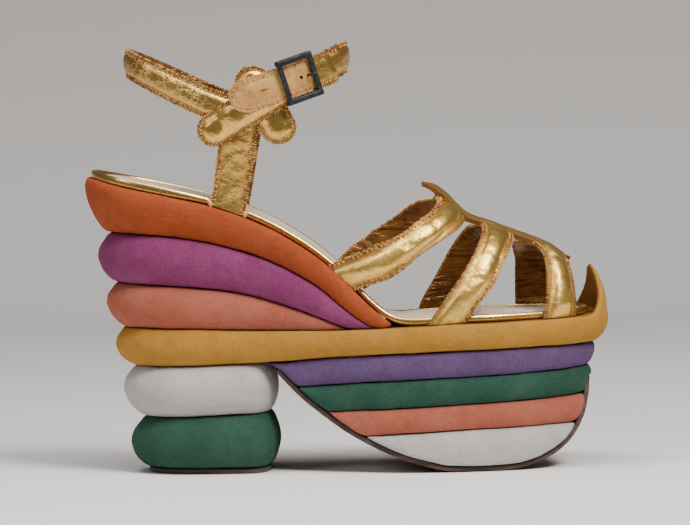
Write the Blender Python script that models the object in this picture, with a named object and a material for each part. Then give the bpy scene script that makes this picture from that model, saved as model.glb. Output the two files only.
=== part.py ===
"""Right platform sandal: a suede-covered sole in layers, gold straps and a side buckle.

The shoe is first drawn straight, in (run, side, height): run goes from the back of the seat to
the front of the toe, side is positive towards the inner side of the foot, height is above the
floor. place() then bends that straight shoe so that the toe swings to the inner side.
World axes: +X to the toe, +Y to the inner side, +Z up, origin under the middle of the heel.
"""
import bpy
import bmesh
from collections import namedtuple
from math import atan, cos, pi, radians, sin, sqrt
from mathutils import Matrix, Vector

# Driving sizes in metres
LENGTH = 0.240
BALL_WIDTH = 0.082
SEAT_WIDTH = 0.062
SEAT_HEIGHT = 0.1363
PLATFORM_HEIGHT = 0.067
INSTEP_RISE = 0.0600
GAP = 0.0003

TOP_PIECE_LENGTH = 0.0575
TOP_PIECE_WIDTH = 0.050
TOP_PIECE_THICKNESS = 0.0025
OUTSOLE_THICKNESS = 0.0024
INSOLE_THICKNESS = 0.0022
BINDING_WIDTH = 0.0024
BINDING_HEIGHT = 0.0034
BEAK_RISE = 0.0228

STRAP_THICKNESS = 0.0016
STRAP_CROWN = 0.0010
STRAP_BORDER = 0.0024
SPINE_WIDTH = 0.011
ANKLE_LENGTH = 0.0988
ANKLE_WIDTH = 0.062
ANKLE_STRAP_WIDTH = 0.0135
ANKLE_STRAP_THICKNESS = 0.0020
POST_HEIGHT = 0.0475
POST_WIDTH = 0.0158
POST_LEAD = 0.0038
POST_SLANT = 0.0078
POST_STAGGER = 0.0018
BAND_WIDTH = 0.0152
BAND_THICKNESS = 0.0018
TAN_WIDTH = 0.0150
TAN_THICKNESS = 0.0015
BUCKLE_LENGTH = 0.0178
BUCKLE_BAR = 0.0026
BUCKLE_DEPTH = 0.0019
PRONG_DIAMETER = 0.0013

# Where the middle of the heel stands, as a share of the length from the back of the seat
ORIGIN_RUN = 0.2313

Row = namedtuple("Row", "run value")

# The shoe's own centre line seen from above, in shares of the ball width
CENTRE_LINE = [Row(0.0, 0.033), Row(0.23, 0.0), Row(0.36, -0.016), Row(0.5, -0.020),
               Row(0.68, 0.012), Row(0.86, 0.080), Row(1.0, 0.140)]

# Crease and seat heights above the platform, as shares of the rise from platform to seat
SEAT_LINE = [Row(0.0, 1.0), Row(0.058, 0.950), Row(0.139, 0.883), Row(0.229, 0.813),
             Row(0.302, 0.730), Row(0.383, 0.588), Row(0.464, 0.385), Row(0.516, 0.198),
             Row(0.545, 0.085), Row(0.57, 0.015), Row(0.60, -0.010), Row(1.0, -0.010)]
UPPER_CREASE = [Row(0.03, 0.632), Row(0.097, 0.622), Row(0.178, 0.596), Row(0.240, 0.557),
                Row(0.301, 0.503), Row(0.362, 0.420), Row(0.403, 0.346), Row(0.443, 0.258),
                Row(0.483, 0.138), Row(0.516, 0.040), Row(0.544, -0.020), Row(0.60, -0.10)]
LOWER_CREASE = [Row(0.04, 0.304), Row(0.115, 0.286), Row(0.177, 0.273), Row(0.238, 0.254),
                Row(0.300, 0.222), Row(0.361, 0.162), Row(0.422, 0.088), Row(0.463, 0.030),
                Row(0.507, -0.030), Row(0.60, -0.15)]

# Heights as shares of the platform height
PLATFORM_TOP = [Row(0.05, 1.003), Row(0.175, 0.990), Row(0.298, 0.976), Row(0.46, 0.972),
                Row(0.573, 0.988), Row(0.70, 1.005), Row(0.86, 1.018), Row(1.0, 1.040)]
PLATFORM_BASE = [Row(0.06, 0.738), Row(0.174, 0.736), Row(0.256, 0.742), Row(0.357, 0.758),
                 Row(0.498, 0.798), Row(0.686, 0.823), Row(0.874, 0.838), Row(1.0, 0.846)]
VIOLET_BASE = [Row(0.33, 0.56), Row(0.405, 0.590), Row(0.591, 0.630), Row(0.779, 0.654),
               Row(1.0, 0.695)]
GREEN_BASE = [Row(0.35, 0.395), Row(0.46, 0.421), Row(0.684, 0.455), Row(0.872, 0.485),
              Row(1.0, 0.515)]
SALMON_BASE = [Row(0.40, 0.22), Row(0.526, 0.254), Row(0.683, 0.285), Row(0.906, 0.305),
               Row(1.0, 0.31)]
HEEL_CREASE = [Row(0.08, 0.389), Row(0.172, 0.390), Row(0.254, 0.400), Row(0.36, 0.412)]

# Under side of the outsole, the flat spot is where the height stays nought
TREAD = [Row(0.3575, 0.700), Row(0.4025, 0.525), Row(0.4488, 0.388), Row(0.495, 0.267),
         Row(0.5417, 0.164), Row(0.5883, 0.085), Row(0.635, 0.034), Row(0.680, 0.0),
         Row(0.765, 0.0), Row(0.8225, 0.033), Row(0.870, 0.1015), Row(0.9079, 0.2075),
         Row(0.9367, 0.358), Row(0.950, 0.5075), Row(0.9548, 0.600)]

# Half widths of the seat and platform edge, in shares of half the seat and ball widths
Width = namedtuple("Width", "run of_seat outer inner")
EDGE = [Width(0.0, 0.93, 0.0, 0.0), Width(0.13, 1.0, 0.0, 0.0), Width(0.27, 0.95, 0.0, 0.0),
        Width(0.40, 0.50, 0.385, 0.37), Width(0.52, 0.12, 0.79, 0.73),
        Width(0.64, 0.0, 0.99, 0.945), Width(0.73, 0.0, 0.985, 1.0),
        Width(0.84, 0.0, 0.86, 0.925), Width(0.93, 0.0, 0.73, 0.80), Width(1.0, 0.0, 0.70, 0.76)]

# Height of the instep over the foot-bed, in shares of the instep rise
INSTEP = [Row(0.44, 1.30), Row(0.54, 1.23), Row(0.61, 1.09), Row(0.676, 0.90), Row(0.726, 0.745),
          Row(0.763, 0.692), Row(0.81, 0.615), Row(0.875, 0.505), Row(0.918, 0.380), Row(1.0, 0.15)]

# Back and front edge of each vamp strap, as runs, on its way over the foot: -1 is the outer
# platform edge, 0 the top under the spine and 1 the inner edge
Climb = namedtuple("Climb", "way back front")
FIRST_STRAP = [Climb(-1.0, 0.463, 0.509), Climb(-0.82, 0.503, 0.546), Climb(-0.55, 0.554, 0.611),
               Climb(-0.32, 0.610, 0.668), Climb(-0.14, 0.651, 0.700), Climb(0.0, 0.667, 0.715),
               Climb(0.10, 0.645, 0.703), Climb(0.24, 0.613, 0.672), Climb(0.47, 0.560, 0.617),
               Climb(0.66, 0.5285, 0.586), Climb(0.82, 0.500, 0.556), Climb(1.0, 0.472, 0.524)]
MIDDLE_STRAP = [Climb(-1.0, 0.632, 0.701), Climb(-0.82, 0.663, 0.724), Climb(-0.60, 0.694, 0.753),
                Climb(-0.34, 0.720, 0.776), Climb(-0.10, 0.743, 0.799), Climb(0.0, 0.750, 0.808),
                Climb(0.08, 0.737, 0.800), Climb(0.33, 0.7135, 0.770), Climb(0.63, 0.686, 0.745),
                Climb(0.92, 0.651, 0.716), Climb(1.0, 0.645, 0.708)]
FRONT_STRAP = [Climb(-1.0, 0.847, 0.911), Climb(-0.80, 0.853, 0.912), Climb(-0.42, 0.859, 0.912),
               Climb(-0.15, 0.861, 0.911), Climb(0.0, 0.848, 0.916), Climb(0.06, 0.828, 0.908),
               Climb(0.30, 0.8405, 0.905), Climb(0.90, 0.845, 0.905), Climb(1.0, 0.845, 0.905)]

# Side insets and ends of each crease's outline: how far it starts from the back of the seat and
# ends short of the toe, and how much narrower it is at the heel
Crease = namedtuple("Crease", "back front heel_inset toe_inset")
SEAT_EDGE = Crease(0.0, 0.0060, 0.0, 0.0)
UPPER_EDGE = Crease(0.0087, 0.0060, 0.0040, 0.0)
LOWER_EDGE = Crease(0.0116, 0.0060, 0.0050, 0.0)
TOP_EDGE = Crease(0.0157, 0.0030, 0.0055, 0.0)
BASE_EDGE = Crease(0.0194, 0.0080, 0.0060, 0.0008)
VIOLET_EDGE = Crease(0.0194, 0.0102, 0.0060, 0.0012)
GREEN_EDGE = Crease(0.0194, 0.0112, 0.0060, 0.0016)
SALMON_EDGE = Crease(0.0194, 0.0112, 0.0060, 0.0020)
TREAD_EDGE = Crease(0.0194, 0.0112, 0.0060, 0.0026)
SPLIT_EDGE = Crease(0.0239, 0.0, 0.0052, 0.0)
FOOT_EDGE = Crease(0.0252, 0.0, 0.0050, 0.0)

# Where each layer's thin end stands as a share of the length, and how far its side swells as a
# share of its thickness
Swell = namedtuple("Swell", "tip bulge")
ORANGE = Swell(0.568, 0.15)
MAGENTA = Swell(0.528, 0.205)
WEDGE_SALMON = Swell(0.470, 0.233)
VIOLET = Swell(0.368, 0.15)
GREEN = Swell(0.375, 0.13)
SALMON = Swell(0.42, 0.13)
WHITE = Swell(0.48, 0.08)
HEEL_WHITE_BULGE = 0.25
HEEL_GREEN_BULGE = 0.24

HEEL_ROUND = 0.029
TOE_ROUND = 0.027
BREAST_ROUND = 0.010
HEEL_FRONT = 0.0830
TOP_PIECE_INSET = 0.0006

STRAP_SEAT = 0.0030
ANKLE_LOW_RUN = 0.2938

# Power of the superellipse that the last and the ankle have in section, as used on sine and cosine
LAST_ROUND = 2.3
LAST_POWER = 2 / LAST_ROUND

# Where the buckle sits on the outer ankle wall: shares of the ankle's length in front of the
# posts and of the posts' height above their top, and how the free strap end runs through it
BUCKLE_REACH = 0.267
BUCKLE_RISE = 0.288
STRAP_SLOPE = 0.367
BUCKLE_LIFT = 0.0036
BUCKLE_TILT = 0.0009
TAN_REACH = 0.0275
TAN_TAIL = 0.0150
CENTRE_BAR = 0.0016
CUTTERS = "cutters"

# Ends of the two knotted bands over the outer post, in the same shares as the buckle's place
BandEnd = namedtuple("BandEnd", "reach rise")
CROSS_START = BandEnd(0.051, 0.394)
CROSS_FINISH = BandEnd(0.223, -0.316)
CHAPE_START = BandEnd(-0.152, -0.274)
CHAPE_FINISH = BandEnd(0.232, 0.228)


def read(table, run, column="value"):
    """Smooth value of a table's column at a run, without overshoot between its rows."""
    runs = [row[0] for row in table]
    values = [getattr(row, column) for row in table]
    if run <= runs[0]:
        return values[0]
    if run >= runs[-1]:
        return values[-1]
    i = max(k for k in range(len(runs) - 1) if runs[k] <= run)

    def chord(k):
        return (values[k + 1] - values[k]) / (runs[k + 1] - runs[k])

    def slope(k):
        if k == 0:
            return chord(0)
        if k == len(runs) - 1:
            return chord(k - 1)
        before, after = chord(k - 1), chord(k)
        if before * after <= 0.0:
            return 0.0
        return 2.0 * before * after / (before + after)

    span = runs[i + 1] - runs[i]
    t = (run - runs[i]) / span
    return (values[i] * (2 * t ** 3 - 3 * t ** 2 + 1) + values[i + 1] * (3 * t ** 2 - 2 * t ** 3)
            + span * slope(i) * (t ** 3 - 2 * t ** 2 + t) + span * slope(i + 1) * (t ** 3 - t ** 2))


def stations():
    """Runs in metres at which every layer has a section, closer where the seat dives."""
    shares = [k / 24 for k in range(25)] + [k / 48 for k in range(21, 30, 2)]
    return [LENGTH * share for share in sorted(shares)]


STATIONS = stations()


def chorded(height, run):
    """Height between two stations as a straight chord, so that neighbours share it exactly."""
    run = min(max(run, STATIONS[0]), STATIONS[-1])
    i = max(k for k in range(len(STATIONS) - 1) if STATIONS[k] <= run)
    share = (run - STATIONS[i]) / (STATIONS[i + 1] - STATIONS[i])
    return height(STATIONS[i]) * (1.0 - share) + height(STATIONS[i + 1]) * share


def line(table, rising=False):
    """Height in metres over the floor of a crease table, as a function of the run."""
    def smooth(run):
        share = read(table, run / LENGTH)
        if rising:
            return PLATFORM_HEIGHT + share * (SEAT_HEIGHT - PLATFORM_HEIGHT)
        return PLATFORM_HEIGHT * share
    return lambda run: chorded(smooth, run)


seat = line(SEAT_LINE, rising=True)
upper_crease = line(UPPER_CREASE, rising=True)
lower_crease = line(LOWER_CREASE, rising=True)
platform_top = line(PLATFORM_TOP)
platform_base = line(PLATFORM_BASE)
violet_base = line(VIOLET_BASE)
green_base = line(GREEN_BASE)
salmon_base = line(SALMON_BASE)
heel_crease = line(HEEL_CREASE)


def bed(run):
    """Top of the layers under the insole."""
    return max(seat(run), platform_top(run))


def place(run, side, height):
    """World point of a point of the straight shoe."""
    step = 0.01

    def centre(share):
        return BALL_WIDTH * read(CENTRE_LINE, share)

    share = run / LENGTH
    swing = atan((centre(share + step) - centre(share - step)) / (2 * step * LENGTH))
    x = run - ORIGIN_RUN * LENGTH - side * sin(swing)
    y = centre(share) + side * cos(swing)
    return Vector((x, y, height))


def round_end(distance, radius, power=2.2):
    """Share of the full width left at a distance from a round end."""
    if distance >= radius:
        return 1.0
    if distance <= 0.0:
        return 0.0
    return (1.0 - (1.0 - distance / radius) ** power) ** (1.0 / power)


def edge_width(run, inner_side):
    """Half width of the seat and platform edge before its ends are rounded."""
    column = "inner" if inner_side else "outer"

    def smooth(at):
        half_seat = SEAT_WIDTH / 2 * read(EDGE, at / LENGTH, "of_seat")
        return half_seat + BALL_WIDTH / 2 * read(EDGE, at / LENGTH, column)
    return chorded(smooth, run)


def outline(run, inner_side, crease, inset=0.0, front_round=TOE_ROUND, front=None):
    """Half width of a crease's outline at a run, drawn in by an inset all round."""
    heel_share = read(EDGE, run / LENGTH, "of_seat")
    width = edge_width(run, inner_side) - inset
    width -= crease.heel_inset * heel_share + crease.toe_inset * (1.0 - heel_share)
    end = LENGTH - crease.front if front is None else front
    back_share = round_end(run - crease.back - inset, HEEL_ROUND - inset)
    front_share = round_end(end - inset - run, front_round - min(inset, front_round / 2))
    return width * back_share * front_share


def new_object(name, points, faces, paint, cutter=False):
    """Mesh object from points of the straight shoe, with points that meet made one."""
    places = [place(*point) for point in points]
    order = {}
    for spot in places:
        order.setdefault(tuple(round(value, 6) for value in spot), len(order))
    index = [order[tuple(round(value, 6) for value in spot)] for spot in places]
    kept = []
    for face in faces:
        corners = [index[corner] for corner in face]
        corners = [corner for i, corner in enumerate(corners) if corner != corners[i - 1]]
        if len(set(corners)) > 2:
            kept.append(corners)
    mesh = bpy.data.meshes.new(name)
    mesh.from_pydata([Vector(spot) for spot in order], [], kept)
    return finish_object(name, mesh, paint, cutter)


def finish_object(name, mesh, paint, cutter=False):
    """Clean a mesh, face it outwards and link it to its collection."""
    shape = bmesh.new()
    shape.from_mesh(mesh)
    bmesh.ops.recalc_face_normals(shape, faces=shape.faces)
    shape.to_mesh(mesh)
    shape.free()
    piece = bpy.data.objects.new(name, mesh)
    if cutter:
        piece.hide_render = True
        piece.display_type = "WIRE"
        bpy.data.collections[CUTTERS].objects.link(piece)
        return piece
    mesh.materials.append(paint)
    mesh.shade_smooth()
    mesh.set_sharp_from_angle(angle=radians(40))
    bpy.data.collections["platform_sandal"].objects.link(piece)
    return piece


def material(name, colour, roughness, metallic=0.0):
    """Principled material of one colour."""
    paint = bpy.data.materials.new(name)
    paint.use_nodes = True
    shader = paint.node_tree.nodes["Principled BSDF"]
    shader.inputs["Base Color"].default_value = (*colour, 1.0)
    shader.inputs["Roughness"].default_value = roughness
    shader.inputs["Metallic"].default_value = metallic
    return paint


def loft(rings, closed=False):
    """Points and faces through rings of equal length, with capped ends unless closed."""
    count = len(rings[0])
    points = [point for ring in rings for point in ring]
    faces = []
    spans = len(rings) if closed else len(rings) - 1
    for i in range(spans):
        here = i * count
        there = ((i + 1) % len(rings)) * count
        for j in range(count):
            k = (j + 1) % count
            faces.append((here + j, here + k, there + k, there + j))
    if not closed:
        faces.append(tuple(range(count)))
        faces.append(tuple(range(len(points) - count, len(points))))
    return points, faces


def slab(name, rings, paint):
    """Solid from outline rings stacked in height, capped by ladders from side to side.

    Each ring is a list of (run, outer half width, inner half width, height), back to front.
    """
    steps = len(rings[0])
    points = []
    for ring in rings:
        points += [(run, -outer, height) for run, outer, inner, height in ring]
        points += [(run, inner, height) for run, outer, inner, height in reversed(ring)]
    count = 2 * steps
    faces = []
    for i in range(len(rings) - 1):
        for j in range(count):
            k = (j + 1) % count
            faces.append((i * count + j, i * count + k, (i + 1) * count + k, (i + 1) * count + j))
    for base in (0, (len(rings) - 1) * count):
        for j in range(steps - 1):
            faces.append((base + j, base + j + 1, base + count - 2 - j, base + count - 1 - j))
    return new_object(name, points, faces, paint)


ROUND_STEPS = 4


def round_reach(radius):
    """How far the closer sections of a round end reach in from it."""
    return radius * (1 - cos(pi / 2 * (ROUND_STEPS - 1) / ROUND_STEPS))


def shared_runs(back, front, round_back, round_front):
    """Shared stations that every ring of a piece uses, between its round ends."""
    clear = LENGTH / 90
    low = back + round_reach(round_back) + clear
    high = front - round_reach(round_front) - clear
    return [run for run in STATIONS if low < run < high]


def section_runs(back, front, round_back, round_front, shared):
    """Runs of one ring's sections: the shared stations, with more at its own round ends."""
    turns = [1 - cos(pi / 2 * k / ROUND_STEPS) for k in range(ROUND_STEPS)]
    head = [back + round_back * turn for turn in turns] if round_back else [back]
    tail = [front - round_front * turn for turn in reversed(turns)] if round_front else [front]
    return head + shared + tail


def clearance(height, run):
    """Half the gap at a crease, measured upright, wider where the crease slopes."""
    step = LENGTH / 60
    slope = abs(height(run + step) - height(run - step)) / (2 * step)
    return GAP / 2 * (1 + slope)


Layer = namedtuple("Layer", "name top base top_edge base_edge bulge start end rings paint")


def layer(spec):
    """Padded, covered layer whose sides swell between the crease above and the crease below."""
    blunt_back = spec.start is not None
    blunt_front = spec.end is not None
    back_round = 0.0 if blunt_back else HEEL_ROUND
    front_round = 0.0 if blunt_front else TOE_ROUND
    rings = []
    furthest_back = max(spec.base_edge.back, spec.top_edge.back)
    least_front = LENGTH - max(spec.base_edge.front, spec.top_edge.front)
    shared = shared_runs(spec.start if blunt_back else furthest_back,
                         spec.end if blunt_front else least_front, back_round, front_round)
    for step in spec.rings:
        level = (1 + sin(radians(step))) / 2
        swell = cos(radians(step)) ** 0.8
        edge = Crease(*[a + (b - a) * level for a, b in zip(spec.base_edge, spec.top_edge)])
        start = spec.start if blunt_back else edge.back
        end = spec.end if blunt_front else LENGTH - edge.front
        runs = section_runs(start, end, back_round, front_round, shared)
        ring = []
        for run in runs:
            over, under = clearance(spec.top, run), clearance(spec.base, run)
            thickness = spec.top(run) - spec.base(run) - over - under
            height = spec.base(run) + under + max(thickness, GAP) * level
            out = spec.bulge * max(thickness, GAP) * swell
            outer = outline(run, False, edge)
            inner = outline(run, True, edge)
            shift = 0.0
            if not blunt_back:
                shift -= out * (1 - round_end(run - start, HEEL_ROUND)) ** 0.5
            if not blunt_front:
                shift += out * (1 - round_end(end - run, TOE_ROUND)) ** 0.5
            grow = out * round_end(run - start, HEEL_ROUND) if not blunt_back else out
            grow = grow * round_end(end - run, TOE_ROUND) if not blunt_front else grow
            ring.append((run + shift, outer + grow, inner + grow, height))
        rings.append(ring)
    return slab(spec.name, rings, spec.paint)


def heel_layer(name, top, base, top_edge, base_edge, bulge, paint):
    """Heel layer: round at the back, nearly flat at its breast, swelling all round."""
    rings = []
    shared = shared_runs(max(top_edge.back, base_edge.back), HEEL_FRONT, HEEL_ROUND, BREAST_ROUND)
    for step in (-90, -62, -30, 0, 30, 62, 90):
        level = (1 + sin(radians(step))) / 2
        swell = cos(radians(step)) ** 0.8
        edge = Crease(*[a + (b - a) * level for a, b in zip(base_edge, top_edge)])
        runs = section_runs(edge.back, HEEL_FRONT, HEEL_ROUND, BREAST_ROUND, shared)
        ring = []
        for run in runs:
            thickness = top(run) - base(run) - GAP
            out = bulge * thickness * swell
            back_share = round_end(run - edge.back, HEEL_ROUND)
            front_share = round_end(HEEL_FRONT - run, BREAST_ROUND, power=2.6)
            full = edge_width(run, False) - edge.heel_inset
            width = (full + out) * back_share * front_share
            shift = 0.55 * out * (1 - front_share) ** 0.5 - out * (1 - back_share) ** 0.5
            ring.append((run + shift, width, width, base(run) + GAP / 2 + thickness * level))
        rings.append(ring)
    return slab(name, rings, paint)


def top_piece(paint):
    """Leather lift under the heel."""
    rings = []
    start = FOOT_EDGE.back + TOP_PIECE_INSET
    end = start + TOP_PIECE_LENGTH
    shared = shared_runs(start, end, HEEL_ROUND, BREAST_ROUND)
    for height in (0.0, TOP_PIECE_THICKNESS):
        ring = []
        for run in section_runs(start, end, HEEL_ROUND, BREAST_ROUND, shared):
            share = round_end(run - start, HEEL_ROUND) * round_end(end - run, BREAST_ROUND, 2.6)
            ring.append((run, TOP_PIECE_WIDTH / 2 * share, TOP_PIECE_WIDTH / 2 * share, height))
        rings.append(ring)
    return slab("heel_top_piece", rings, paint)


def tread_points(lift):
    """Points (run, height) of the outsole's bend, moved off its under side by a lift."""
    runs = []
    for a, b in zip(TREAD, TREAD[1:]):
        count = 1 if a.value == b.value else 2
        runs += [a.run + (b.run - a.run) * k / count for k in range(count)]
    runs.append(TREAD[-1].run)
    line_points = [(LENGTH * run, PLATFORM_HEIGHT * read(TREAD, run)) for run in runs]
    lifted = []
    for i, (run, height) in enumerate(line_points):
        before = line_points[max(i - 1, 0)]
        after = line_points[min(i + 1, len(line_points) - 1)]
        slope = Vector((after[0] - before[0], after[1] - before[1])).normalized()
        lifted.append((run - slope.y * lift, height + slope.x * lift))
    return lifted


def tread_width(run, height, inner_side):
    """Half width of the outsole where it meets the layers."""
    edge = TREAD_EDGE._replace(front=LENGTH - TREAD[-1].run * LENGTH - 0.0008)
    share = min(height / PLATFORM_HEIGHT, 1.0)
    edge = edge._replace(toe_inset=TREAD_EDGE.toe_inset * (1 - share))
    return outline(run, inner_side, edge)


def outsole(paint):
    """Thin leather sole bent up at both ends."""
    under = tread_points(0.0)
    over = tread_points(OUTSOLE_THICKNESS)
    rings = []
    for (run, height), (run_over, height_over) in zip(under, over):
        outer = max(tread_width(run, height, False), 0.002)
        inner = max(tread_width(run, height, True), 0.002)
        rings.append([(run, -outer, height), (run, 0.0, height), (run, inner, height),
                      (run_over, inner, height_over), (run_over, 0.0, height_over),
                      (run_over, -outer, height_over)])
    points, faces = loft(rings)
    return new_object("outsole", points, faces, paint)


def tread_cutter():
    """All that lies below the outsole's upper face, to trim the layers that rest on it."""
    bend = tread_points(OUTSOLE_THICKNESS + 1.5 * GAP)
    low = -PLATFORM_HEIGHT
    ends = [(LENGTH * 1.3, bend[-1][1]), (LENGTH * 1.3, low), (LENGTH * 0.2, low),
            (LENGTH * 0.2, bend[0][1])]
    ring = bend + ends
    reach = BALL_WIDTH * 0.65
    rings = [[(run, side, height) for run, height in ring] for side in (-reach, 0.0, reach)]
    points, faces = loft(rings)
    return new_object("tread_cutter", points, faces, None, cutter=True)


def cut(piece, cutter):
    """Take a cutter's shape out of a piece."""
    trim = piece.modifiers.new("trim", "BOOLEAN")
    trim.operation = "DIFFERENCE"
    trim.object = cutter


def join(piece, others):
    """Join other solids to a piece and keep them as guides."""
    for other in others:
        other.hide_render = True
        other.display_type = "WIRE"
        bpy.data.collections["platform_sandal"].objects.unlink(other)
        bpy.data.collections[CUTTERS].objects.link(other)
        union = piece.modifiers.new("join", "BOOLEAN")
        union.operation = "UNION"
        union.object = other


# Rise of the beak's rim by share of its half width, as a share of the beak's rise
BEAK_RIM = [Row(0.0, 1.0), Row(0.085, 0.93), Row(0.34, 0.70), Row(0.70, 0.42), Row(0.88, 0.20),
            Row(1.0, 0.0), Row(2.0, 0.0)]
BEAK_LEAN = [Row(0.0, 0.0), Row(0.30, 0.04), Row(0.62, 0.14), Row(0.85, 0.26), Row(1.0, 0.37)]
BEAK_HALF_WIDTH = 0.0225
YELLOW_BULGE = 0.285


def yellow_layer(paint):
    """Full-length layer whose rim rises round the toe into a hollow, pointed beak."""
    rings = []
    most_front = max(BASE_EDGE.front, TOP_EDGE.front) + 0.001
    shared = shared_runs(BASE_EDGE.back + 0.001, LENGTH - most_front, HEEL_ROUND, TOE_ROUND)

    def base_ring(level, out_share, inset, climb):
        edge = Crease(*[a + (b - a) * level for a, b in zip(BASE_EDGE, TOP_EDGE)])
        start = edge.back + inset
        end = LENGTH - edge.front - inset
        ring = []
        for run in section_runs(start, end, HEEL_ROUND, TOE_ROUND, shared):
            thickness = platform_top(run) - platform_base(run) - GAP
            out = YELLOW_BULGE * thickness * out_share
            back_share = round_end(run - start, HEEL_ROUND)
            front_share = round_end(end - run, TOE_ROUND)
            outer = outline(run, False, edge, inset) + out * back_share * front_share
            inner = outline(run, True, edge, inset) + out * back_share * front_share
            shift = out * (1 - front_share) ** 0.5 - out * (1 - back_share) ** 0.5
            height = platform_base(run) + GAP / 2 + thickness * level
            rim = 0.0
            if run > LENGTH / 2:
                rim = BEAK_RISE * read(BEAK_RIM, min(outer, inner) / BEAK_HALF_WIDTH)
            rise = rim * climb
            lean = BEAK_RISE * read(BEAK_LEAN, rise / BEAK_RISE)
            ring.append((run + shift - lean, outer, inner, height + rise))
        return ring

    for step in (-90, -62, -30, 0):
        rings.append(base_ring((1 + sin(radians(step))) / 2, cos(radians(step)) ** 0.8, 0.0, 0.0))
    for level, out_share, climb in ((0.76, 0.93, 0.15), (0.93, 0.75, 0.45), (1.0, 0.55, 0.75),
                                    (1.0, 0.35, 1.0)):
        rings.append(base_ring(level, out_share, 0.0, climb))
    rings.append(base_ring(1.0, 0.0, 0.0006, 1.0))
    rings.append(base_ring(1.0, 0.0, 0.0008, 0.6))
    rings.append(base_ring(1.0, 0.0, 0.0010, 0.0))
    return slab("platform_layer_yellow", rings, paint)


# How far the insole's edge is drawn in at each step of its rounded shoulder, and its share of
# the insole's thickness there
INSOLE_SHOULDER = [(0.0, 0.0), (0.0, 0.8), (0.003, 1.2), (0.012, 1.7)]


def insole(paint):
    """Leather foot-bed, thicker along its middle."""
    rings = []
    inset = STRAP_SEAT + GAP + BINDING_WIDTH + GAP
    most = inset + INSOLE_SHOULDER[-1][0]
    shared = shared_runs(SEAT_EDGE.back + most, LENGTH - SEAT_EDGE.front - most, HEEL_ROUND,
                         TOE_ROUND)
    for drawn_in, rise in INSOLE_SHOULDER:
        total = inset + drawn_in
        start = SEAT_EDGE.back + total
        end = LENGTH - SEAT_EDGE.front - total
        ring = []
        for run in section_runs(start, end, HEEL_ROUND - total, TOE_ROUND - total / 2, shared):
            height = rest(run) + rise * INSOLE_THICKNESS
            ring.append((run, outline(run, False, SEAT_EDGE, total),
                         outline(run, True, SEAT_EDGE, total), height))
        rings.append(ring)
    return slab("insole", rings, paint)


def binding(paint):
    """Rolled gold piping round the insole's edge."""
    middle = STRAP_SEAT + GAP + BINDING_WIDTH / 2
    start = SEAT_EDGE.back + middle
    end = LENGTH - SEAT_EDGE.front - middle
    shared = shared_runs(start, end, HEEL_ROUND, TOE_ROUND)
    runs = section_runs(start, end, HEEL_ROUND - middle, TOE_ROUND - middle / 2, shared)
    route = [(run, -outline(run, False, SEAT_EDGE, middle)) for run in runs]
    route += [(run, outline(run, True, SEAT_EDGE, middle)) for run in reversed(runs)]
    route = [point for i, point in enumerate(route) if point != route[i - 1]]
    section = [(-0.5, 0.0), (0.5, 0.0), (0.5, 0.6), (0.2, 1.0), (-0.2, 1.0), (-0.5, 0.6)]
    rings = []
    for i, (run, side) in enumerate(route):
        before = Vector(route[i - 1])
        after = Vector(route[(i + 1) % len(route)])
        along = (after - before).normalized()
        ring = []
        for across, rise in section:
            there = run + along.y * across * BINDING_WIDTH
            height = rest(there) + rise * BINDING_HEIGHT
            ring.append((there, side - along.x * across * BINDING_WIDTH, height))
        rings.append(ring)
    points, faces = loft(rings, closed=True)
    return new_object("insole_binding", points, faces, paint)


def strap_solid(name, sections, thickness, crown, paint, closed=False):
    """Padded strap over a surface.

    Each section is (border share, points), its points being (inner point, outward direction) at
    five places from one edge to the other.
    """
    rings = []
    for points in sections:
        swell = (0.0, 0.6, 1.0, 0.6, 0.0)
        inner = [point for point, out in points]
        outer = [point + out * (thickness + crown * share)
                 for (point, out), share in zip(points, swell)]
        rings.append([tuple(point) for point in inner + outer[::-1]])
    points, faces = loft(rings, closed)
    return new_object(name, points, faces, paint)


def across_strap(back, front):
    """Five runs from a strap's back edge to its front edge, the outer ones close to the edges."""
    border = min(STRAP_BORDER, (front - back) / 4)
    return back, back + border, (back + front) / 2, front - border, front


def rest(run):
    """Height of what lies on the layers: clear of them also where they slope."""
    def height(at):
        return chorded(bed, at)
    return height(run) + 2 * clearance(height, run)


def last_point(run, turn):
    """Point on the last over the forefoot: turn -90 is the outer edge, 0 the top, 90 the inner."""
    angle = radians(90 - abs(turn))
    inner_side = turn > 0
    wide = outline(run, inner_side, SEAT_EDGE, STRAP_SEAT)
    rise = INSTEP_RISE * read(INSTEP, run / LENGTH)
    side = wide * max(cos(angle), 0.0) ** LAST_POWER * (1 if inner_side else -1)
    return Vector((run, side, rest(run) + rise * max(sin(angle), 0.0) ** LAST_POWER))


def last_normal(run, turn):
    """Outward direction of the last's surface, level at its edges."""
    step = 2.0
    low, high = max(turn - step, -90), min(turn + step, 90)
    across = last_point(run, high) - last_point(run, low)
    along = last_point(run + 0.002, turn) - last_point(run - 0.002, turn)
    out = along.cross(across).normalized()
    if abs(turn) > 80:
        out.z *= (90 - abs(turn)) / 10
    return out.normalized()


def vamp_strap(name, climb, paint):
    """One pair of straps as an arch over the foot from edge to edge."""
    sections = []
    for turn in (-90, -84, -76, -66, -55, -43, -30, -15, 0, 15, 30, 43, 55, 66, 76, 84, 90):
        way = (1 - max(sin(radians(90 - abs(turn))), 0.0) ** LAST_POWER) * (1 if turn > 0 else -1)
        back = LENGTH * read(climb, way, "back")
        front = LENGTH * read(climb, way, "front")
        sections.append([(last_point(run, turn), last_normal(run, turn))
                         for run in across_strap(back, front)])
    return strap_solid(name, sections, STRAP_THICKNESS, STRAP_CROWN, paint)


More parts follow.
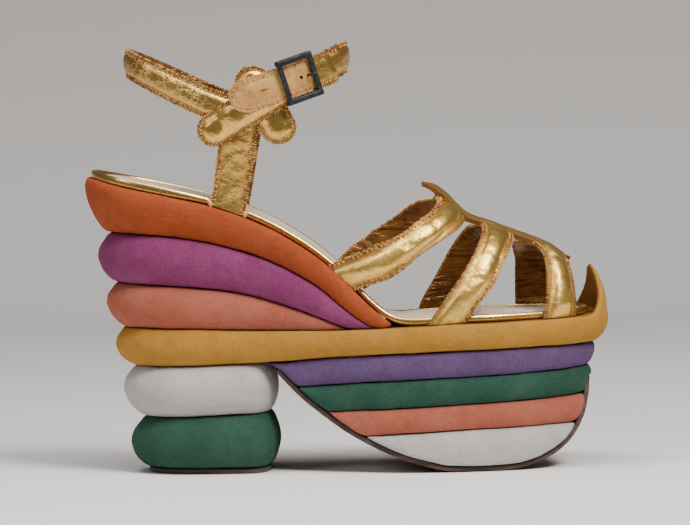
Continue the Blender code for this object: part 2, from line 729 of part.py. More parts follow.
# The spine's top line: share of the length, lift over the straps in metres, width share
Spine = namedtuple("Spine", "run lift width")
SPINE = [Spine(0.639, 0.0002, 0.22), Spine(0.648, 0.0013, 0.5), Spine(0.659, 0.0020, 0.78),
         Spine(0.675, 0.0018, 0.95), Spine(0.695, 0.0009, 1.0), Spine(0.72, 0.0002, 1.0),
         Spine(0.745, 0.0, 0.85), Spine(0.775, 0.0, 1.0), Spine(0.81, 0.0, 0.9),
         Spine(0.85, 0.0, 1.0), Spine(0.885, 0.0, 0.85), Spine(0.905, 0.0, 0.55),
         Spine(0.918, 0.0004, 0.2)]


def spine(paint):
    """Leather strip along the top that joins the three pairs of straps."""
    sections = []
    sink = STRAP_THICKNESS / 2
    for row in SPINE:
        run = row.run * LENGTH
        top = last_point(run, 0)
        out = last_normal(run, 0)
        out.y = 0.0
        out.normalize()
        middle = top + out * (sink + row.lift)
        half = SPINE_WIDTH / 2 * row.width
        sections.append([(middle + Vector((0, half * share, 0)), out)
                         for share in (-1, -0.6, 0, 0.6, 1)])
    return strap_solid("spine", sections, STRAP_THICKNESS, STRAP_CROWN / 2, paint)


def ankle_centre():
    """Run of the middle of the ankle loop."""
    return ANKLE_LOW_RUN * LENGTH - 0.0005


def ankle_wall(run):
    """Half width of the ankle's wall at a run."""
    far = min(abs(run - ankle_centre()) / (ANKLE_LENGTH / 2), 1.0)
    return ANKLE_WIDTH / 2 * (1 - far ** LAST_ROUND) ** (1 / LAST_ROUND)


def ankle_height(run):
    """Middle of the ankle strap: two arms that rise from a low point over the posts."""
    low = ANKLE_LOW_RUN * LENGTH
    reach = run - low
    climb = 0.52 if reach < 0 else 0.56
    bend = 0.008
    return seat(low) + POST_HEIGHT + climb * (sqrt(reach ** 2 + bend ** 2) - bend)


def wall_normal(run, inner_side):
    """Outward direction of the ankle's wall, level."""
    step = 0.0005
    slope = (ankle_wall(run + step) - ankle_wall(run - step)) / (2 * step)
    slope = min(max(slope, -6.0), 6.0)
    return Vector((-slope, 1.0 if inner_side else -1.0, 0.0)).normalized()


def ankle_loop(paint):
    """Closed strap round the ankle."""
    steps = 40
    centre = ankle_centre()
    path = []
    for k in range(steps):
        angle = 2 * pi * k / steps
        back = abs(cos(angle)) ** LAST_POWER * (1 if cos(angle) > 0 else -1)
        run = centre - ANKLE_LENGTH / 2 * back
        side = ANKLE_WIDTH / 2 * abs(sin(angle)) ** LAST_POWER * (1 if sin(angle) > 0 else -1)
        path.append(Vector((run, side, ankle_height(run))))
    rings = []
    for k, point in enumerate(path):
        along = (path[(k + 1) % steps] - path[k - 1]).normalized()
        out = Vector((along.y, -along.x, 0)).normalized()
        if out.dot(point - Vector((centre, 0, point.z))) < 0:
            out = -out
        across = out.cross(along).normalized()
        if across.z < 0:
            across = -across
        front_share = (point.x - centre) / ANKLE_LENGTH + 0.5
        half = across * ANKLE_STRAP_WIDTH / 2 * (0.94 + 0.16 * front_share)
        out = across.cross(along).normalized()
        if out.dot(point - Vector((centre, 0, point.z))) < 0:
            out = -out
        ring = [point - half, point + half, point + half + out * ANKLE_STRAP_THICKNESS * 0.8,
                point + half * 0.6 + out * ANKLE_STRAP_THICKNESS,
                point - half * 0.6 + out * ANKLE_STRAP_THICKNESS,
                point - half + out * ANKLE_STRAP_THICKNESS * 0.8]
        rings.append([tuple(p) for p in ring])
    points, faces = loft(rings, closed=True)
    return new_object("ankle_strap", points, faces, paint)


def post(inner_side, paint):
    """Side post from the seat's edge up to the ankle strap."""
    low = ANKLE_LOW_RUN * LENGTH
    side = 1 if inner_side else -1
    top = ankle_height(low) - seat(low)
    steps = 6
    sections = []
    for k in range(steps + 1):
        share = k / steps
        middle = low + POST_LEAD - POST_SLANT * (1 - share)
        if inner_side:
            middle -= POST_STAGGER
        ease = 3 * share ** 2 - 2 * share ** 3
        half = POST_WIDTH / 2 * (0.94 + 0.10 * share)
        section = []
        for run in across_strap(middle - half, middle + half):
            foot = outline(run, inner_side, SEAT_EDGE, STRAP_SEAT)
            width = foot * (1 - ease) + ankle_wall(run) * ease
            height = rest(run) * (1 - ease) + seat(low) * ease + top * share
            section.append((Vector((run, side * width, height)), Vector((0, side, 0))))
        sections.append(section)
    return strap_solid("post", sections, STRAP_THICKNESS, STRAP_CROWN * 0.3, paint)


def wall_point(run, height, lift):
    """Point over the outer ankle wall, a lift outside the ankle strap's face."""
    return Vector((run, -ankle_wall(run), height)) + wall_normal(run, False) * (
        ANKLE_STRAP_THICKNESS + lift)


def band_shares(length, radius, round_start, round_finish):
    """Shares of a band's length at which it has a section, closer at its round ends."""
    turns = [1 - cos(pi / 2 * k / ROUND_STEPS) for k in range(ROUND_STEPS)]
    reach = radius / length
    head = [reach * turn for turn in turns] if round_start else [0.0]
    tail = [1 - reach * turn for turn in reversed(turns)] if round_finish else [1.0]
    low = reach if round_start else 0.08
    high = 1 - reach if round_finish else 0.92
    steps = 7
    return head + [low + (high - low) * k / steps for k in range(steps + 1)] + tail


def wall_band(name, start, finish, width, thickness, lifts, ends, paint, thin_end=1.0):
    """Band laid over the outer ankle wall between two (run, height) ends.

    ends says which of them is round, and thin_end what is left of the thickness at the finish.
    """
    a, b = Vector(start), Vector(finish)
    along = (b - a).normalized()
    length = (b - a).length
    across = Vector((-along.y, along.x)) * width / 2
    radius = width / 2
    rings = []
    for share in band_shares(length, radius, *ends):
        point = a + (b - a) * share
        narrow = 1.0
        if ends[0]:
            narrow = min(narrow, max(round_end(share * length, radius, 2.0), 0.3))
        if ends[1]:
            narrow = min(narrow, max(round_end((1 - share) * length, radius, 2.0), 0.3))
        lift = read(lifts, share)
        deep = thickness * (1 - (1 - thin_end) * max(0.0, (share - 0.8) / 0.2))
        section = []
        for place_across, depth in ((-1, 0), (-0.5, 0), (0, 0), (0.5, 0), (1, 0), (1, 0.8),
                                    (0.65, 1), (0, 1), (-0.65, 1), (-1, 0.8)):
            spot = point + across * narrow * place_across
            section.append(tuple(wall_point(spot.x, spot.y, lift + deep * depth)))
        rings.append(section)
    points, faces = loft(rings)
    return new_object(name, points, faces, paint)


def knot_point(end):
    """Run and height of a place on the outer wall given by its reach and rise from the posts."""
    low = ANKLE_LOW_RUN * LENGTH
    return low + end.reach * ANKLE_LENGTH, seat(low) + POST_HEIGHT * (1 + end.rise)


def buckle_run():
    """Run of the middle of the buckle."""
    return knot_point(BandEnd(BUCKLE_REACH, BUCKLE_RISE))[0]


def strap_line(run):
    """Middle of the free strap end over the outer wall."""
    middle, height = knot_point(BandEnd(BUCKLE_REACH, BUCKLE_RISE))
    return height + STRAP_SLOPE * (run - middle)


def buckle_axes():
    """Centre of the buckle where the strap's inner face passes, its direction along the strap,
    across it and outward."""
    run = buckle_run()
    reach = BUCKLE_LENGTH / 2
    centre = wall_point(run, strap_line(run), BUCKLE_LIFT)
    back = wall_point(run - reach, strap_line(run - reach), BUCKLE_LIFT + BUCKLE_TILT)
    ahead = wall_point(run + reach, strap_line(run + reach), BUCKLE_LIFT - BUCKLE_TILT)
    along = (ahead - back).normalized()
    out = wall_normal(run, False)
    out = (out - along * out.dot(along)).normalized()
    across = out.cross(along).normalized()
    if across.z < 0:
        across = -across
    return centre, along, across, out


def buckle_block(along_range, across_range, lift_range, bevel):
    """Bar of the buckle as a box in the buckle's own axes, with softened edges."""
    shape = bmesh.new()
    bmesh.ops.create_cube(shape, size=1.0)
    size = Vector((along_range[1] - along_range[0], across_range[1] - across_range[0],
                   lift_range[1] - lift_range[0]))
    middle = Vector((sum(along_range), sum(across_range), sum(lift_range))) / 2
    bmesh.ops.scale(shape, vec=size, verts=shape.verts)
    if bevel:
        bmesh.ops.bevel(shape, geom=shape.edges, offset=bevel, segments=1, affect="EDGES")
    bmesh.ops.translate(shape, vec=middle, verts=shape.verts)
    return shape


def from_buckle(point):
    """World point of a point in the buckle's own axes."""
    centre, along, across, out = buckle_axes()
    return place(*(centre + Matrix((along, across, out)).transposed() @ Vector(point)))


def buckle_object(name, blocks, paint):
    """Object from blocks in the buckle's axes, joined by union."""
    pieces = []
    for i, shape in enumerate(blocks):
        mesh = bpy.data.meshes.new(name)
        shape.to_mesh(mesh)
        shape.free()
        for vertex in mesh.vertices:
            vertex.co = from_buckle(vertex.co)
        pieces.append(finish_object(name if i == 0 else name + "_bar", mesh, paint))
    join(pieces[0], pieces[1:])
    return pieces[0]


def buckle_frame(paint):
    """Rectangular frame over the strap with a centre bar under it."""
    half = BUCKLE_LENGTH / 2
    over = TAN_THICKNESS + GAP
    top = over + BUCKLE_DEPTH
    inside = TAN_WIDTH / 2 + GAP
    outside = inside + BUCKLE_BAR
    bevel = 0.0005
    reach = outside - bevel
    blocks = [buckle_block((-half, half), (inside, outside), (0.0002, top), bevel),
              buckle_block((-half, half), (-outside, -inside), (0.0002, top), bevel)]
    for low, high in ((-half, -half + BUCKLE_BAR), (half - BUCKLE_BAR, half)):
        blocks.append(buckle_block((low + 0.0001, high - 0.0001), (-reach, reach),
                                   (over, top - 0.0001), bevel))
    bar = CENTRE_BAR / 2
    blocks.append(buckle_block((-bar, bar), (-reach, reach), (-GAP - CENTRE_BAR, -GAP), 0.0))
    for side in (-1, 1):
        low, high = sorted((side * (inside + GAP), side * reach))
        blocks.append(buckle_block((-bar * 0.9, bar * 0.9), (low, high),
                                   (-GAP - CENTRE_BAR * 0.9, 0.0010), 0.0))
    return buckle_object("buckle_frame", blocks, paint)


def prong_path():
    """Route of the prong as (along, lift): off the centre bar, up through its hole, over the bar."""
    radius = PRONG_DIAMETER / 2
    bar = BUCKLE_LENGTH / 2 - BUCKLE_BAR
    top = TAN_THICKNESS + GAP + BUCKLE_DEPTH + GAP + radius
    low = -GAP - CENTRE_BAR / 2
    hole = bar - GAP - radius - 0.0006
    return [(CENTRE_BAR / 2 + GAP, low), (hole - 0.0016, low), (hole, low + 0.0009),
            (hole, top - 0.0012), (hole + 0.0008, top - 0.0001), (bar + 0.0012, top),
            (bar + BUCKLE_BAR * 0.7, top - 0.0001)]


def tube(path, radius, name, paint, cutter=False):
    """Round rod through points in the buckle's middle plane."""
    rings = []
    for i, (along, lift) in enumerate(path):
        before = Vector(path[max(i - 1, 0)])
        after = Vector(path[min(i + 1, len(path) - 1)])
        way = (after - before).normalized()
        ring = []
        for k in range(6):
            angle = pi / 3 * k
            ring.append((along - way.y * radius * sin(angle), radius * cos(angle),
                         lift + way.x * radius * sin(angle)))
        rings.append(ring)
    points, faces = loft(rings)
    mesh = bpy.data.meshes.new(name)
    mesh.from_pydata([from_buckle(point) for point in points], [], faces)
    return finish_object(name, mesh, paint, cutter)


def buckle_strap(paint):
    """Free end of the strap: through the buckle, over the knot, with a round tip."""
    run = buckle_run()
    start = run - TAN_REACH
    finish = run + TAN_TAIL
    total = TAN_REACH + TAN_TAIL

    def share(distance):
        return (TAN_REACH + distance) / total

    half = BUCKLE_LENGTH / 2
    high = BUCKLE_LIFT + BUCKLE_TILT
    lifts = [Row(0.0, high), Row(share(-half), high), Row(share(0.0), BUCKLE_LIFT),
             Row(share(half), BUCKLE_LIFT - BUCKLE_TILT), Row(1.0, GAP)]
    strap = wall_band("buckle_strap", (start, strap_line(start)), (finish, strap_line(finish)),
                      TAN_WIDTH, TAN_THICKNESS, lifts, (True, False), paint, thin_end=0.35)
    path = prong_path()
    hole = tube([(path[2][0], -0.004), (path[2][0], 0.006)], PRONG_DIAMETER / 2 + GAP,
                "prong_hole", None, cutter=True)
    cut(strap, hole)
    return strap


def main():
    for item in list(bpy.data.objects):
        bpy.data.objects.remove(item)
    for name in ("platform_sandal", CUTTERS):
        folder = bpy.data.collections.new(name)
        bpy.context.scene.collection.children.link(folder)

    suede = {
        "orange": material("suede_orange", (0.62, 0.13, 0.03), 0.9),
        "magenta": material("suede_magenta", (0.42, 0.07, 0.30), 0.9),
        "salmon": material("suede_salmon", (0.75, 0.27, 0.17), 0.9),
        "yellow": material("suede_yellow", (0.62, 0.36, 0.06), 0.9),
        "violet": material("suede_violet", (0.16, 0.09, 0.30), 0.9),
        "green": material("suede_green", (0.01, 0.13, 0.07), 0.9),
        "white": material("suede_white", (0.66, 0.65, 0.62), 0.9),
    }
    worn_leather = material("sole_leather", (0.05, 0.03, 0.02), 0.6)
    tan = material("tan_leather", (0.62, 0.36, 0.17), 0.5)
    bed_leather = material("insole_leather", (0.55, 0.38, 0.25), 0.6)
    gold = material("gold_kid", (0.80, 0.55, 0.20), 0.3, 0.8)
    dark_metal = material("dark_metal", (0.10, 0.11, 0.14), 0.5, 0.9)

    fat = (-90, -62, -30, 0, 30, 62, 90)
    slim = (-90, -45, 0, 45, 90)

    def over_platform(crease):
        return lambda run: max(crease(run), platform_top(run))

    layer(Layer("wedge_layer_orange", seat, over_platform(upper_crease), SEAT_EDGE, UPPER_EDGE,
                ORANGE.bulge, None, LENGTH * ORANGE.tip, fat, suede["orange"]))
    layer(Layer("wedge_layer_magenta", upper_crease, over_platform(lower_crease), UPPER_EDGE,
                LOWER_EDGE, MAGENTA.bulge, None, LENGTH * MAGENTA.tip, fat, suede["magenta"]))
    layer(Layer("wedge_layer_salmon", lower_crease, platform_top, LOWER_EDGE, TOP_EDGE,
                WEDGE_SALMON.bulge, None, LENGTH * WEDGE_SALMON.tip, fat, suede["salmon"]))
    yellow_layer(suede["yellow"])

    bottom = -PLATFORM_HEIGHT * 0.05
    fore = [
        layer(Layer("platform_layer_violet", platform_base, violet_base, BASE_EDGE, VIOLET_EDGE,
                    VIOLET.bulge, LENGTH * VIOLET.tip, None, slim, suede["violet"])),
        layer(Layer("platform_layer_green", violet_base, green_base, VIOLET_EDGE, GREEN_EDGE,
                    GREEN.bulge, LENGTH * GREEN.tip, None, slim, suede["green"])),
        layer(Layer("platform_layer_salmon", green_base, salmon_base, GREEN_EDGE, SALMON_EDGE,
                    SALMON.bulge, LENGTH * SALMON.tip, None, slim, suede["salmon"])),
        layer(Layer("platform_layer_white", salmon_base, lambda run: bottom, SALMON_EDGE,
                    TREAD_EDGE, WHITE.bulge, LENGTH * WHITE.tip, None, slim, suede["white"])),
    ]
    cutter = tread_cutter()
    for piece in fore:
        cut(piece, cutter)
    outsole(worn_leather)

    heel_layer("heel_layer_white", platform_base, heel_crease, BASE_EDGE, SPLIT_EDGE,
               HEEL_WHITE_BULGE, suede["white"])
    heel_layer("heel_layer_green", heel_crease, lambda run: TOP_PIECE_THICKNESS + GAP / 2,
               SPLIT_EDGE, FOOT_EDGE, HEEL_GREEN_BULGE, suede["green"])
    top_piece(worn_leather)

    insole(bed_leather)
    binding(gold)

    arches = [vamp_strap("vamp_straps", FIRST_STRAP, gold),
              vamp_strap("middle_strap", MIDDLE_STRAP, gold),
              vamp_strap("front_strap", FRONT_STRAP, gold)]
    join(arches[0], arches[1:] + [spine(gold)])

    loop = ankle_loop(gold)
    join(loop, [post(False, gold), post(True, gold)])

    flat = [Row(0.0, GAP), Row(1.0, GAP)]
    wall_band("cross_band", knot_point(CROSS_START), knot_point(CROSS_FINISH), BAND_WIDTH,
              BAND_THICKNESS, flat, (True, True), gold)
    high = BAND_THICKNESS + 2 * GAP
    over_cross = [Row(0.0, GAP), Row(0.24, GAP), Row(0.42, high), Row(0.87, high), Row(1.0, GAP)]
    wall_band("chape_band", knot_point(CHAPE_START), knot_point(CHAPE_FINISH), BAND_WIDTH,
              BAND_THICKNESS, over_cross, (True, False), gold)
    buckle_strap(tan)
    buckle_frame(dark_metal)
    tube(prong_path(), PRONG_DIAMETER / 2, "buckle_prong", dark_metal)


main()
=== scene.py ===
"""Looks of the platform sandal: suede layers, gold kid straps, stitches, buckle, floor and light.

The straps are drawn again on the same last as the frame's solids, in straight shoe coordinates:
run from the back of the seat, side (positive to the inner side) and height over the floor.
"""
from collections import namedtuple
from math import atan, cos, exp, hypot, pi, radians, sin, sqrt

import bmesh
import bpy
import numpy as np
from mathutils import Matrix, Vector, noise

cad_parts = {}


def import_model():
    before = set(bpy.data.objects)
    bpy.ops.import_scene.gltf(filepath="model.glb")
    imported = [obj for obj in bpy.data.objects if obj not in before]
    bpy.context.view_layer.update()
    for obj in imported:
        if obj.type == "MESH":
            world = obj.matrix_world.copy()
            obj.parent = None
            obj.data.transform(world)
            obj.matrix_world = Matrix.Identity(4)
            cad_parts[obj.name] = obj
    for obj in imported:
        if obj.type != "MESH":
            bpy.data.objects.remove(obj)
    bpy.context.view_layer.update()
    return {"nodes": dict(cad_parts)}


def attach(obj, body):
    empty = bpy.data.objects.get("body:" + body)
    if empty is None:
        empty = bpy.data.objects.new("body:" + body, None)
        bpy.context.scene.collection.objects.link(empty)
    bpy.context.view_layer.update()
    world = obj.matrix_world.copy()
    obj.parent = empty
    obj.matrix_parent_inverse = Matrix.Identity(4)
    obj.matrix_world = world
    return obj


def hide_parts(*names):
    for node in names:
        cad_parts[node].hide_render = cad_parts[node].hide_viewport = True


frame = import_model()

# Sizes of the last, in metres
LENGTH = 0.240
BALL_WIDTH = 0.082
SEAT_WIDTH = 0.062
SEAT_HEIGHT = 0.1363
PLATFORM_HEIGHT = 0.067
INSTEP_RISE = 0.0600
ORIGIN_RUN = 0.2313
HEEL_ROUND = 0.029
TOE_ROUND = 0.027
SEAT_FRONT = 0.0060
STRAP_SEAT = 0.0030
GAP = 0.0003

# Sizes of the straps
STRAP_EDGE = 0.0016
BORDER = 0.0023
SPINE_WIDTH = 0.011
ANKLE_LENGTH = 0.0988
ANKLE_WIDTH = 0.062
ANKLE_STRAP_WIDTH = 0.0135
ANKLE_STRAP_THICKNESS = 0.0020
ANKLE_LOW_RUN = 0.2938
POST_HEIGHT = 0.0475
POST_WIDTH = 0.0158
POST_LEAD = 0.0038
POST_SLANT = 0.0078
POST_STAGGER = 0.0018
BAND_WIDTH = 0.0152
BAND_THICKNESS = 0.0018
TAN_WIDTH = 0.0150
BUCKLE_LENGTH = 0.0178
STRAP_SLOPE = 0.367
BUCKLE_LIFT = 0.0036
BUCKLE_TILT = 0.0009
TAN_REACH = 0.0275
TAN_TAIL = 0.0150
LAST_ROUND = 2.3
LAST_POWER = 2 / LAST_ROUND

Row = namedtuple("Row", "run value")
Width = namedtuple("Width", "run of_seat outer inner")
Climb = namedtuple("Climb", "way back front")
Spine = namedtuple("Spine", "run lift width")
BandEnd = namedtuple("BandEnd", "reach rise")

CENTRE_LINE = [Row(0.0, 0.033), Row(0.23, 0.0), Row(0.36, -0.016), Row(0.5, -0.020),
               Row(0.68, 0.012), Row(0.86, 0.080), Row(1.0, 0.140)]
SEAT_LINE = [Row(0.0, 1.0), Row(0.058, 0.950), Row(0.139, 0.883), Row(0.229, 0.813),
             Row(0.302, 0.730), Row(0.383, 0.588), Row(0.464, 0.385), Row(0.516, 0.198),
             Row(0.545, 0.085), Row(0.57, 0.015), Row(0.60, -0.010), Row(1.0, -0.010)]
PLATFORM_TOP = [Row(0.05, 1.003), Row(0.175, 0.990), Row(0.298, 0.976), Row(0.46, 0.972),
                Row(0.573, 0.988), Row(0.70, 1.005), Row(0.86, 1.018), Row(1.0, 1.040)]
EDGE = [Width(0.0, 0.93, 0.0, 0.0), Width(0.13, 1.0, 0.0, 0.0), Width(0.27, 0.95, 0.0, 0.0),
        Width(0.40, 0.50, 0.385, 0.37), Width(0.52, 0.12, 0.79, 0.73),
        Width(0.64, 0.0, 0.99, 0.945), Width(0.73, 0.0, 0.985, 1.0),
        Width(0.84, 0.0, 0.86, 0.925), Width(0.93, 0.0, 0.73, 0.80), Width(1.0, 0.0, 0.70, 0.76)]
INSTEP = [Row(0.44, 1.30), Row(0.54, 1.23), Row(0.61, 1.09), Row(0.676, 0.90), Row(0.726, 0.745),
          Row(0.763, 0.692), Row(0.81, 0.615), Row(0.875, 0.505), Row(0.918, 0.380), Row(1.0, 0.15)]
FIRST_STRAP = [Climb(-1.0, 0.463, 0.509), Climb(-0.82, 0.503, 0.546), Climb(-0.55, 0.554, 0.611),
               Climb(-0.32, 0.610, 0.668), Climb(-0.14, 0.651, 0.700), Climb(0.0, 0.667, 0.715),
               Climb(0.10, 0.645, 0.703), Climb(0.24, 0.613, 0.672), Climb(0.47, 0.560, 0.617),
               Climb(0.66, 0.5285, 0.586), Climb(0.82, 0.500, 0.556), Climb(1.0, 0.472, 0.524)]
MIDDLE_STRAP = [Climb(-1.0, 0.632, 0.701), Climb(-0.82, 0.663, 0.724), Climb(-0.60, 0.694, 0.753),
                Climb(-0.34, 0.720, 0.776), Climb(-0.10, 0.743, 0.799), Climb(0.0, 0.750, 0.808),
                Climb(0.08, 0.737, 0.800), Climb(0.33, 0.7135, 0.770), Climb(0.63, 0.686, 0.745),
                Climb(0.92, 0.651, 0.716), Climb(1.0, 0.645, 0.708)]
FRONT_STRAP = [Climb(-1.0, 0.847, 0.911), Climb(-0.80, 0.853, 0.912), Climb(-0.42, 0.859, 0.912),
               Climb(-0.15, 0.861, 0.911), Climb(0.0, 0.848, 0.916), Climb(0.06, 0.828, 0.908),
               Climb(0.30, 0.8405, 0.905), Climb(0.90, 0.845, 0.905), Climb(1.0, 0.845, 0.905)]
SPINE = [Spine(0.639, 0.0002, 0.22), Spine(0.648, 0.0013, 0.5), Spine(0.659, 0.0020, 0.78),
         Spine(0.675, 0.0018, 0.95), Spine(0.695, 0.0009, 1.0), Spine(0.72, 0.0002, 1.0),
         Spine(0.745, 0.0, 0.85), Spine(0.775, 0.0, 1.0), Spine(0.81, 0.0, 0.9),
         Spine(0.85, 0.0, 1.0), Spine(0.885, 0.0, 0.85), Spine(0.905, 0.0, 0.55),
         Spine(0.918, 0.0004, 0.2)]
BUCKLE_PLACE = BandEnd(0.267, 0.288)
CROSS_START = BandEnd(0.051, 0.394)
CROSS_FINISH = BandEnd(0.223, -0.316)
CHAPE_START = BandEnd(-0.152, -0.274)
CHAPE_FINISH = BandEnd(0.232, 0.228)


# The last

def read(table, run, column="value"):
    """Smooth value of a table's column at a run, without overshoot between its rows."""
    runs = [row[0] for row in table]
    values = [getattr(row, column) for row in table]
    if run <= runs[0]:
        return values[0]
    if run >= runs[-1]:
        return values[-1]
    i = max(k for k in range(len(runs) - 1) if runs[k] <= run)

    def chord(k):
        return (values[k + 1] - values[k]) / (runs[k + 1] - runs[k])

    def slope(k):
        if k == 0:
            return chord(0)
        if k == len(runs) - 1:
            return chord(k - 1)
        before, after = chord(k - 1), chord(k)
        return 0.0 if before * after <= 0.0 else 2.0 * before * after / (before + after)

    span = runs[i + 1] - runs[i]
    t = (run - runs[i]) / span
    return (values[i] * (2 * t ** 3 - 3 * t ** 2 + 1) + values[i + 1] * (3 * t ** 2 - 2 * t ** 3)
            + span * slope(i) * (t ** 3 - 2 * t ** 2 + t) + span * slope(i + 1) * (t ** 3 - t ** 2))


def place(point):
    """World point of a point (run, side, height) of the straight shoe."""
    run, side, height = point
    step = 0.01

    def centre(share):
        return BALL_WIDTH * read(CENTRE_LINE, share)

    share = run / LENGTH
    swing = atan((centre(share + step) - centre(share - step)) / (2 * step * LENGTH))
    return Vector((run - ORIGIN_RUN * LENGTH - side * sin(swing), centre(share) + side * cos(swing),
                   height))


def round_end(distance, radius, power=2.2):
    """Share of the full width left at a distance from a round end."""
    if distance >= radius:
        return 1.0
    return 0.0 if distance <= 0.0 else (1.0 - (1.0 - distance / radius) ** power) ** (1.0 / power)


def seat(run):
    return PLATFORM_HEIGHT + read(SEAT_LINE, run / LENGTH) * (SEAT_HEIGHT - PLATFORM_HEIGHT)


def rest(run):
    """Height at which straps and insole lie on the layers."""
    def bed(at):
        return max(seat(at), PLATFORM_HEIGHT * read(PLATFORM_TOP, at / LENGTH))
    step = LENGTH / 60
    return bed(run) + GAP * (1 + abs(bed(run + step) - bed(run - step)) / (2 * step))


def seat_edge(run, inner_side, inset):
    """Half width of the foot-bed at a run, drawn in by an inset."""
    column = "inner" if inner_side else "outer"
    width = SEAT_WIDTH / 2 * read(EDGE, run / LENGTH, "of_seat")
    width += BALL_WIDTH / 2 * read(EDGE, run / LENGTH, column) - inset
    width *= round_end(run - inset, HEEL_ROUND - inset)
    return width * round_end(LENGTH - SEAT_FRONT - inset - run, TOE_ROUND - inset)


def last_point(run, turn):
    """Point on the last: turn -90 is its outer edge, 0 its top and 90 its inner edge."""
    angle = radians(90 - abs(turn))
    inner_side = turn > 0
    wide = seat_edge(run, inner_side, STRAP_SEAT)
    rise = INSTEP_RISE * read(INSTEP, run / LENGTH)
    side = wide * max(cos(angle), 0.0) ** LAST_POWER * (1 if inner_side else -1)
    return Vector((run, side, rest(run) + rise * max(sin(angle), 0.0) ** LAST_POWER))


def ankle_centre():
    return ANKLE_LOW_RUN * LENGTH - 0.0005


def ankle_wall(run):
    """Half width of the ankle's wall at a run."""
    far = min(abs(run - ankle_centre()) / (ANKLE_LENGTH / 2), 1.0)
    return ANKLE_WIDTH / 2 * (1 - far ** LAST_ROUND) ** (1 / LAST_ROUND)


def ankle_height(run):
    """Middle of the ankle strap: two arms that rise from a low point over the posts."""
    reach = run - ANKLE_LOW_RUN * LENGTH
    climb = 0.52 if reach < 0 else 0.56
    bend = 0.008
    return seat(ANKLE_LOW_RUN * LENGTH) + POST_HEIGHT + climb * (sqrt(reach ** 2 + bend ** 2) - bend)


def wall_point(run, height, lift):
    """Point over the outer ankle wall, a lift outside the ankle strap's face."""
    step = 0.0005
    slope = (ankle_wall(run + step) - ankle_wall(run - step)) / (2 * step)
    out = Vector((-min(max(slope, -6.0), 6.0), -1.0, 0.0)).normalized()
    return Vector((run, -ankle_wall(run), height)) + out * (ANKLE_STRAP_THICKNESS + lift)


def knot_point(end):
    """Run and height of a place on the outer wall given by its reach and rise from the posts."""
    low = ANKLE_LOW_RUN * LENGTH
    return Vector((low + end.reach * ANKLE_LENGTH, seat(low) + POST_HEIGHT * (1 + end.rise)))


def strap_line(run):
    """Middle of the free strap end over the outer wall."""
    middle = knot_point(BUCKLE_PLACE)
    return middle.y + STRAP_SLOPE * (run - middle.x)


# Modelling helpers

def only(piece):
    """Select one piece and make it active."""
    bpy.ops.object.select_all(action="DESELECT")
    piece.hide_viewport = False
    piece.select_set(True)
    bpy.context.view_layer.objects.active = piece


def apply_modifier(piece, kind, **settings):
    only(piece)
    modifier = piece.modifiers.new(kind.lower(), kind)
    for key, value in settings.items():
        setattr(modifier, key, value)
    bpy.ops.object.modifier_apply(modifier=modifier.name)


def edit(piece):
    only(piece)
    bpy.ops.object.mode_set(mode="EDIT")
    bpy.ops.mesh.select_all(action="SELECT")


def leave_edit():
    bpy.ops.object.mode_set(mode="OBJECT")


def copy_of(node, name):
    """Merged copy of a frame node, its triangles joined to four-sided faces where they were."""
    piece = bpy.data.objects.new(name, frame["nodes"][node].data.copy())
    bpy.context.scene.collection.objects.link(piece)
    piece.data.materials.clear()
    edit(piece)
    bpy.ops.mesh.remove_doubles(threshold=0.00001)
    bpy.ops.mesh.tris_convert_to_quads(face_threshold=radians(25), shape_threshold=radians(60))
    leave_edit()
    return piece


def inset_caps(piece, reach, width):
    """Narrow ring of faces just inside the broad faces that run from side to side."""
    edit(piece)
    bpy.ops.mesh.select_all(action="DESELECT")
    shape = bmesh.from_edit_mesh(piece.data)
    for face in shape.faces:
        across = [corner.co.y for corner in face.verts]
        face.select_set(max(across) - min(across) > reach)
    bmesh.update_edit_mesh(piece.data)
    bpy.ops.mesh.inset(thickness=width, use_boundary=True, use_even_offset=True)
    leave_edit()


def even_mesh(piece, voxel, smoothing):
    """Even net of small faces over a piece, lightly smoothed."""
    only(piece)
    piece.data.remesh_voxel_size = voxel
    piece.data.remesh_voxel_adaptivity = 0.0
    bpy.ops.object.voxel_remesh()
    apply_modifier(piece, "SMOOTH", factor=0.5, iterations=smoothing)


def points_of(piece):
    count = len(piece.data.vertices)
    places = np.zeros(count * 3, np.float32)
    normals = np.zeros(count * 3, np.float32)
    piece.data.vertices.foreach_get("co", places)
    piece.data.vertices.foreach_get("normal", normals)
    return places.reshape(-1, 3).astype(float), normals.reshape(-1, 3).astype(float)


def move_points(piece, places):
    piece.data.vertices.foreach_set("co", places.astype(np.float32).ravel())
    piece.data.update()


def mark(piece, name, values):
    """Number for each point of a piece, which its material reads."""
    attribute = piece.data.attributes.new(name, "FLOAT", "POINT")
    attribute.data.foreach_set("value", np.asarray(values, np.float32))


def lumps(places, size, seed):
    """Soft noise from -1 to 1 at each point."""
    shift = Vector((seed * 7.31, seed * 3.17, seed * 5.73))
    return np.array([noise.noise(Vector(spot) / size + shift) for spot in places])


Wave = namedtuple("Wave", "height size")


def uneven(places, waves, seed):
    """Sum of soft waves at each point, each with its own noise."""
    return sum(wave.height * lumps(places, wave.size, seed + k) for k, wave in enumerate(waves))


def finish_piece(piece, node, slot, *paints):
    """Paint a piece, smooth its shading and let it stand for its node."""
    for paint in paints:
        piece.data.materials.append(paint)
    only(piece)
    bpy.ops.object.shade_smooth_by_angle(angle=radians(50))
    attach(piece, "root")
    if node:
        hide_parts(node)
    return piece


# Materials

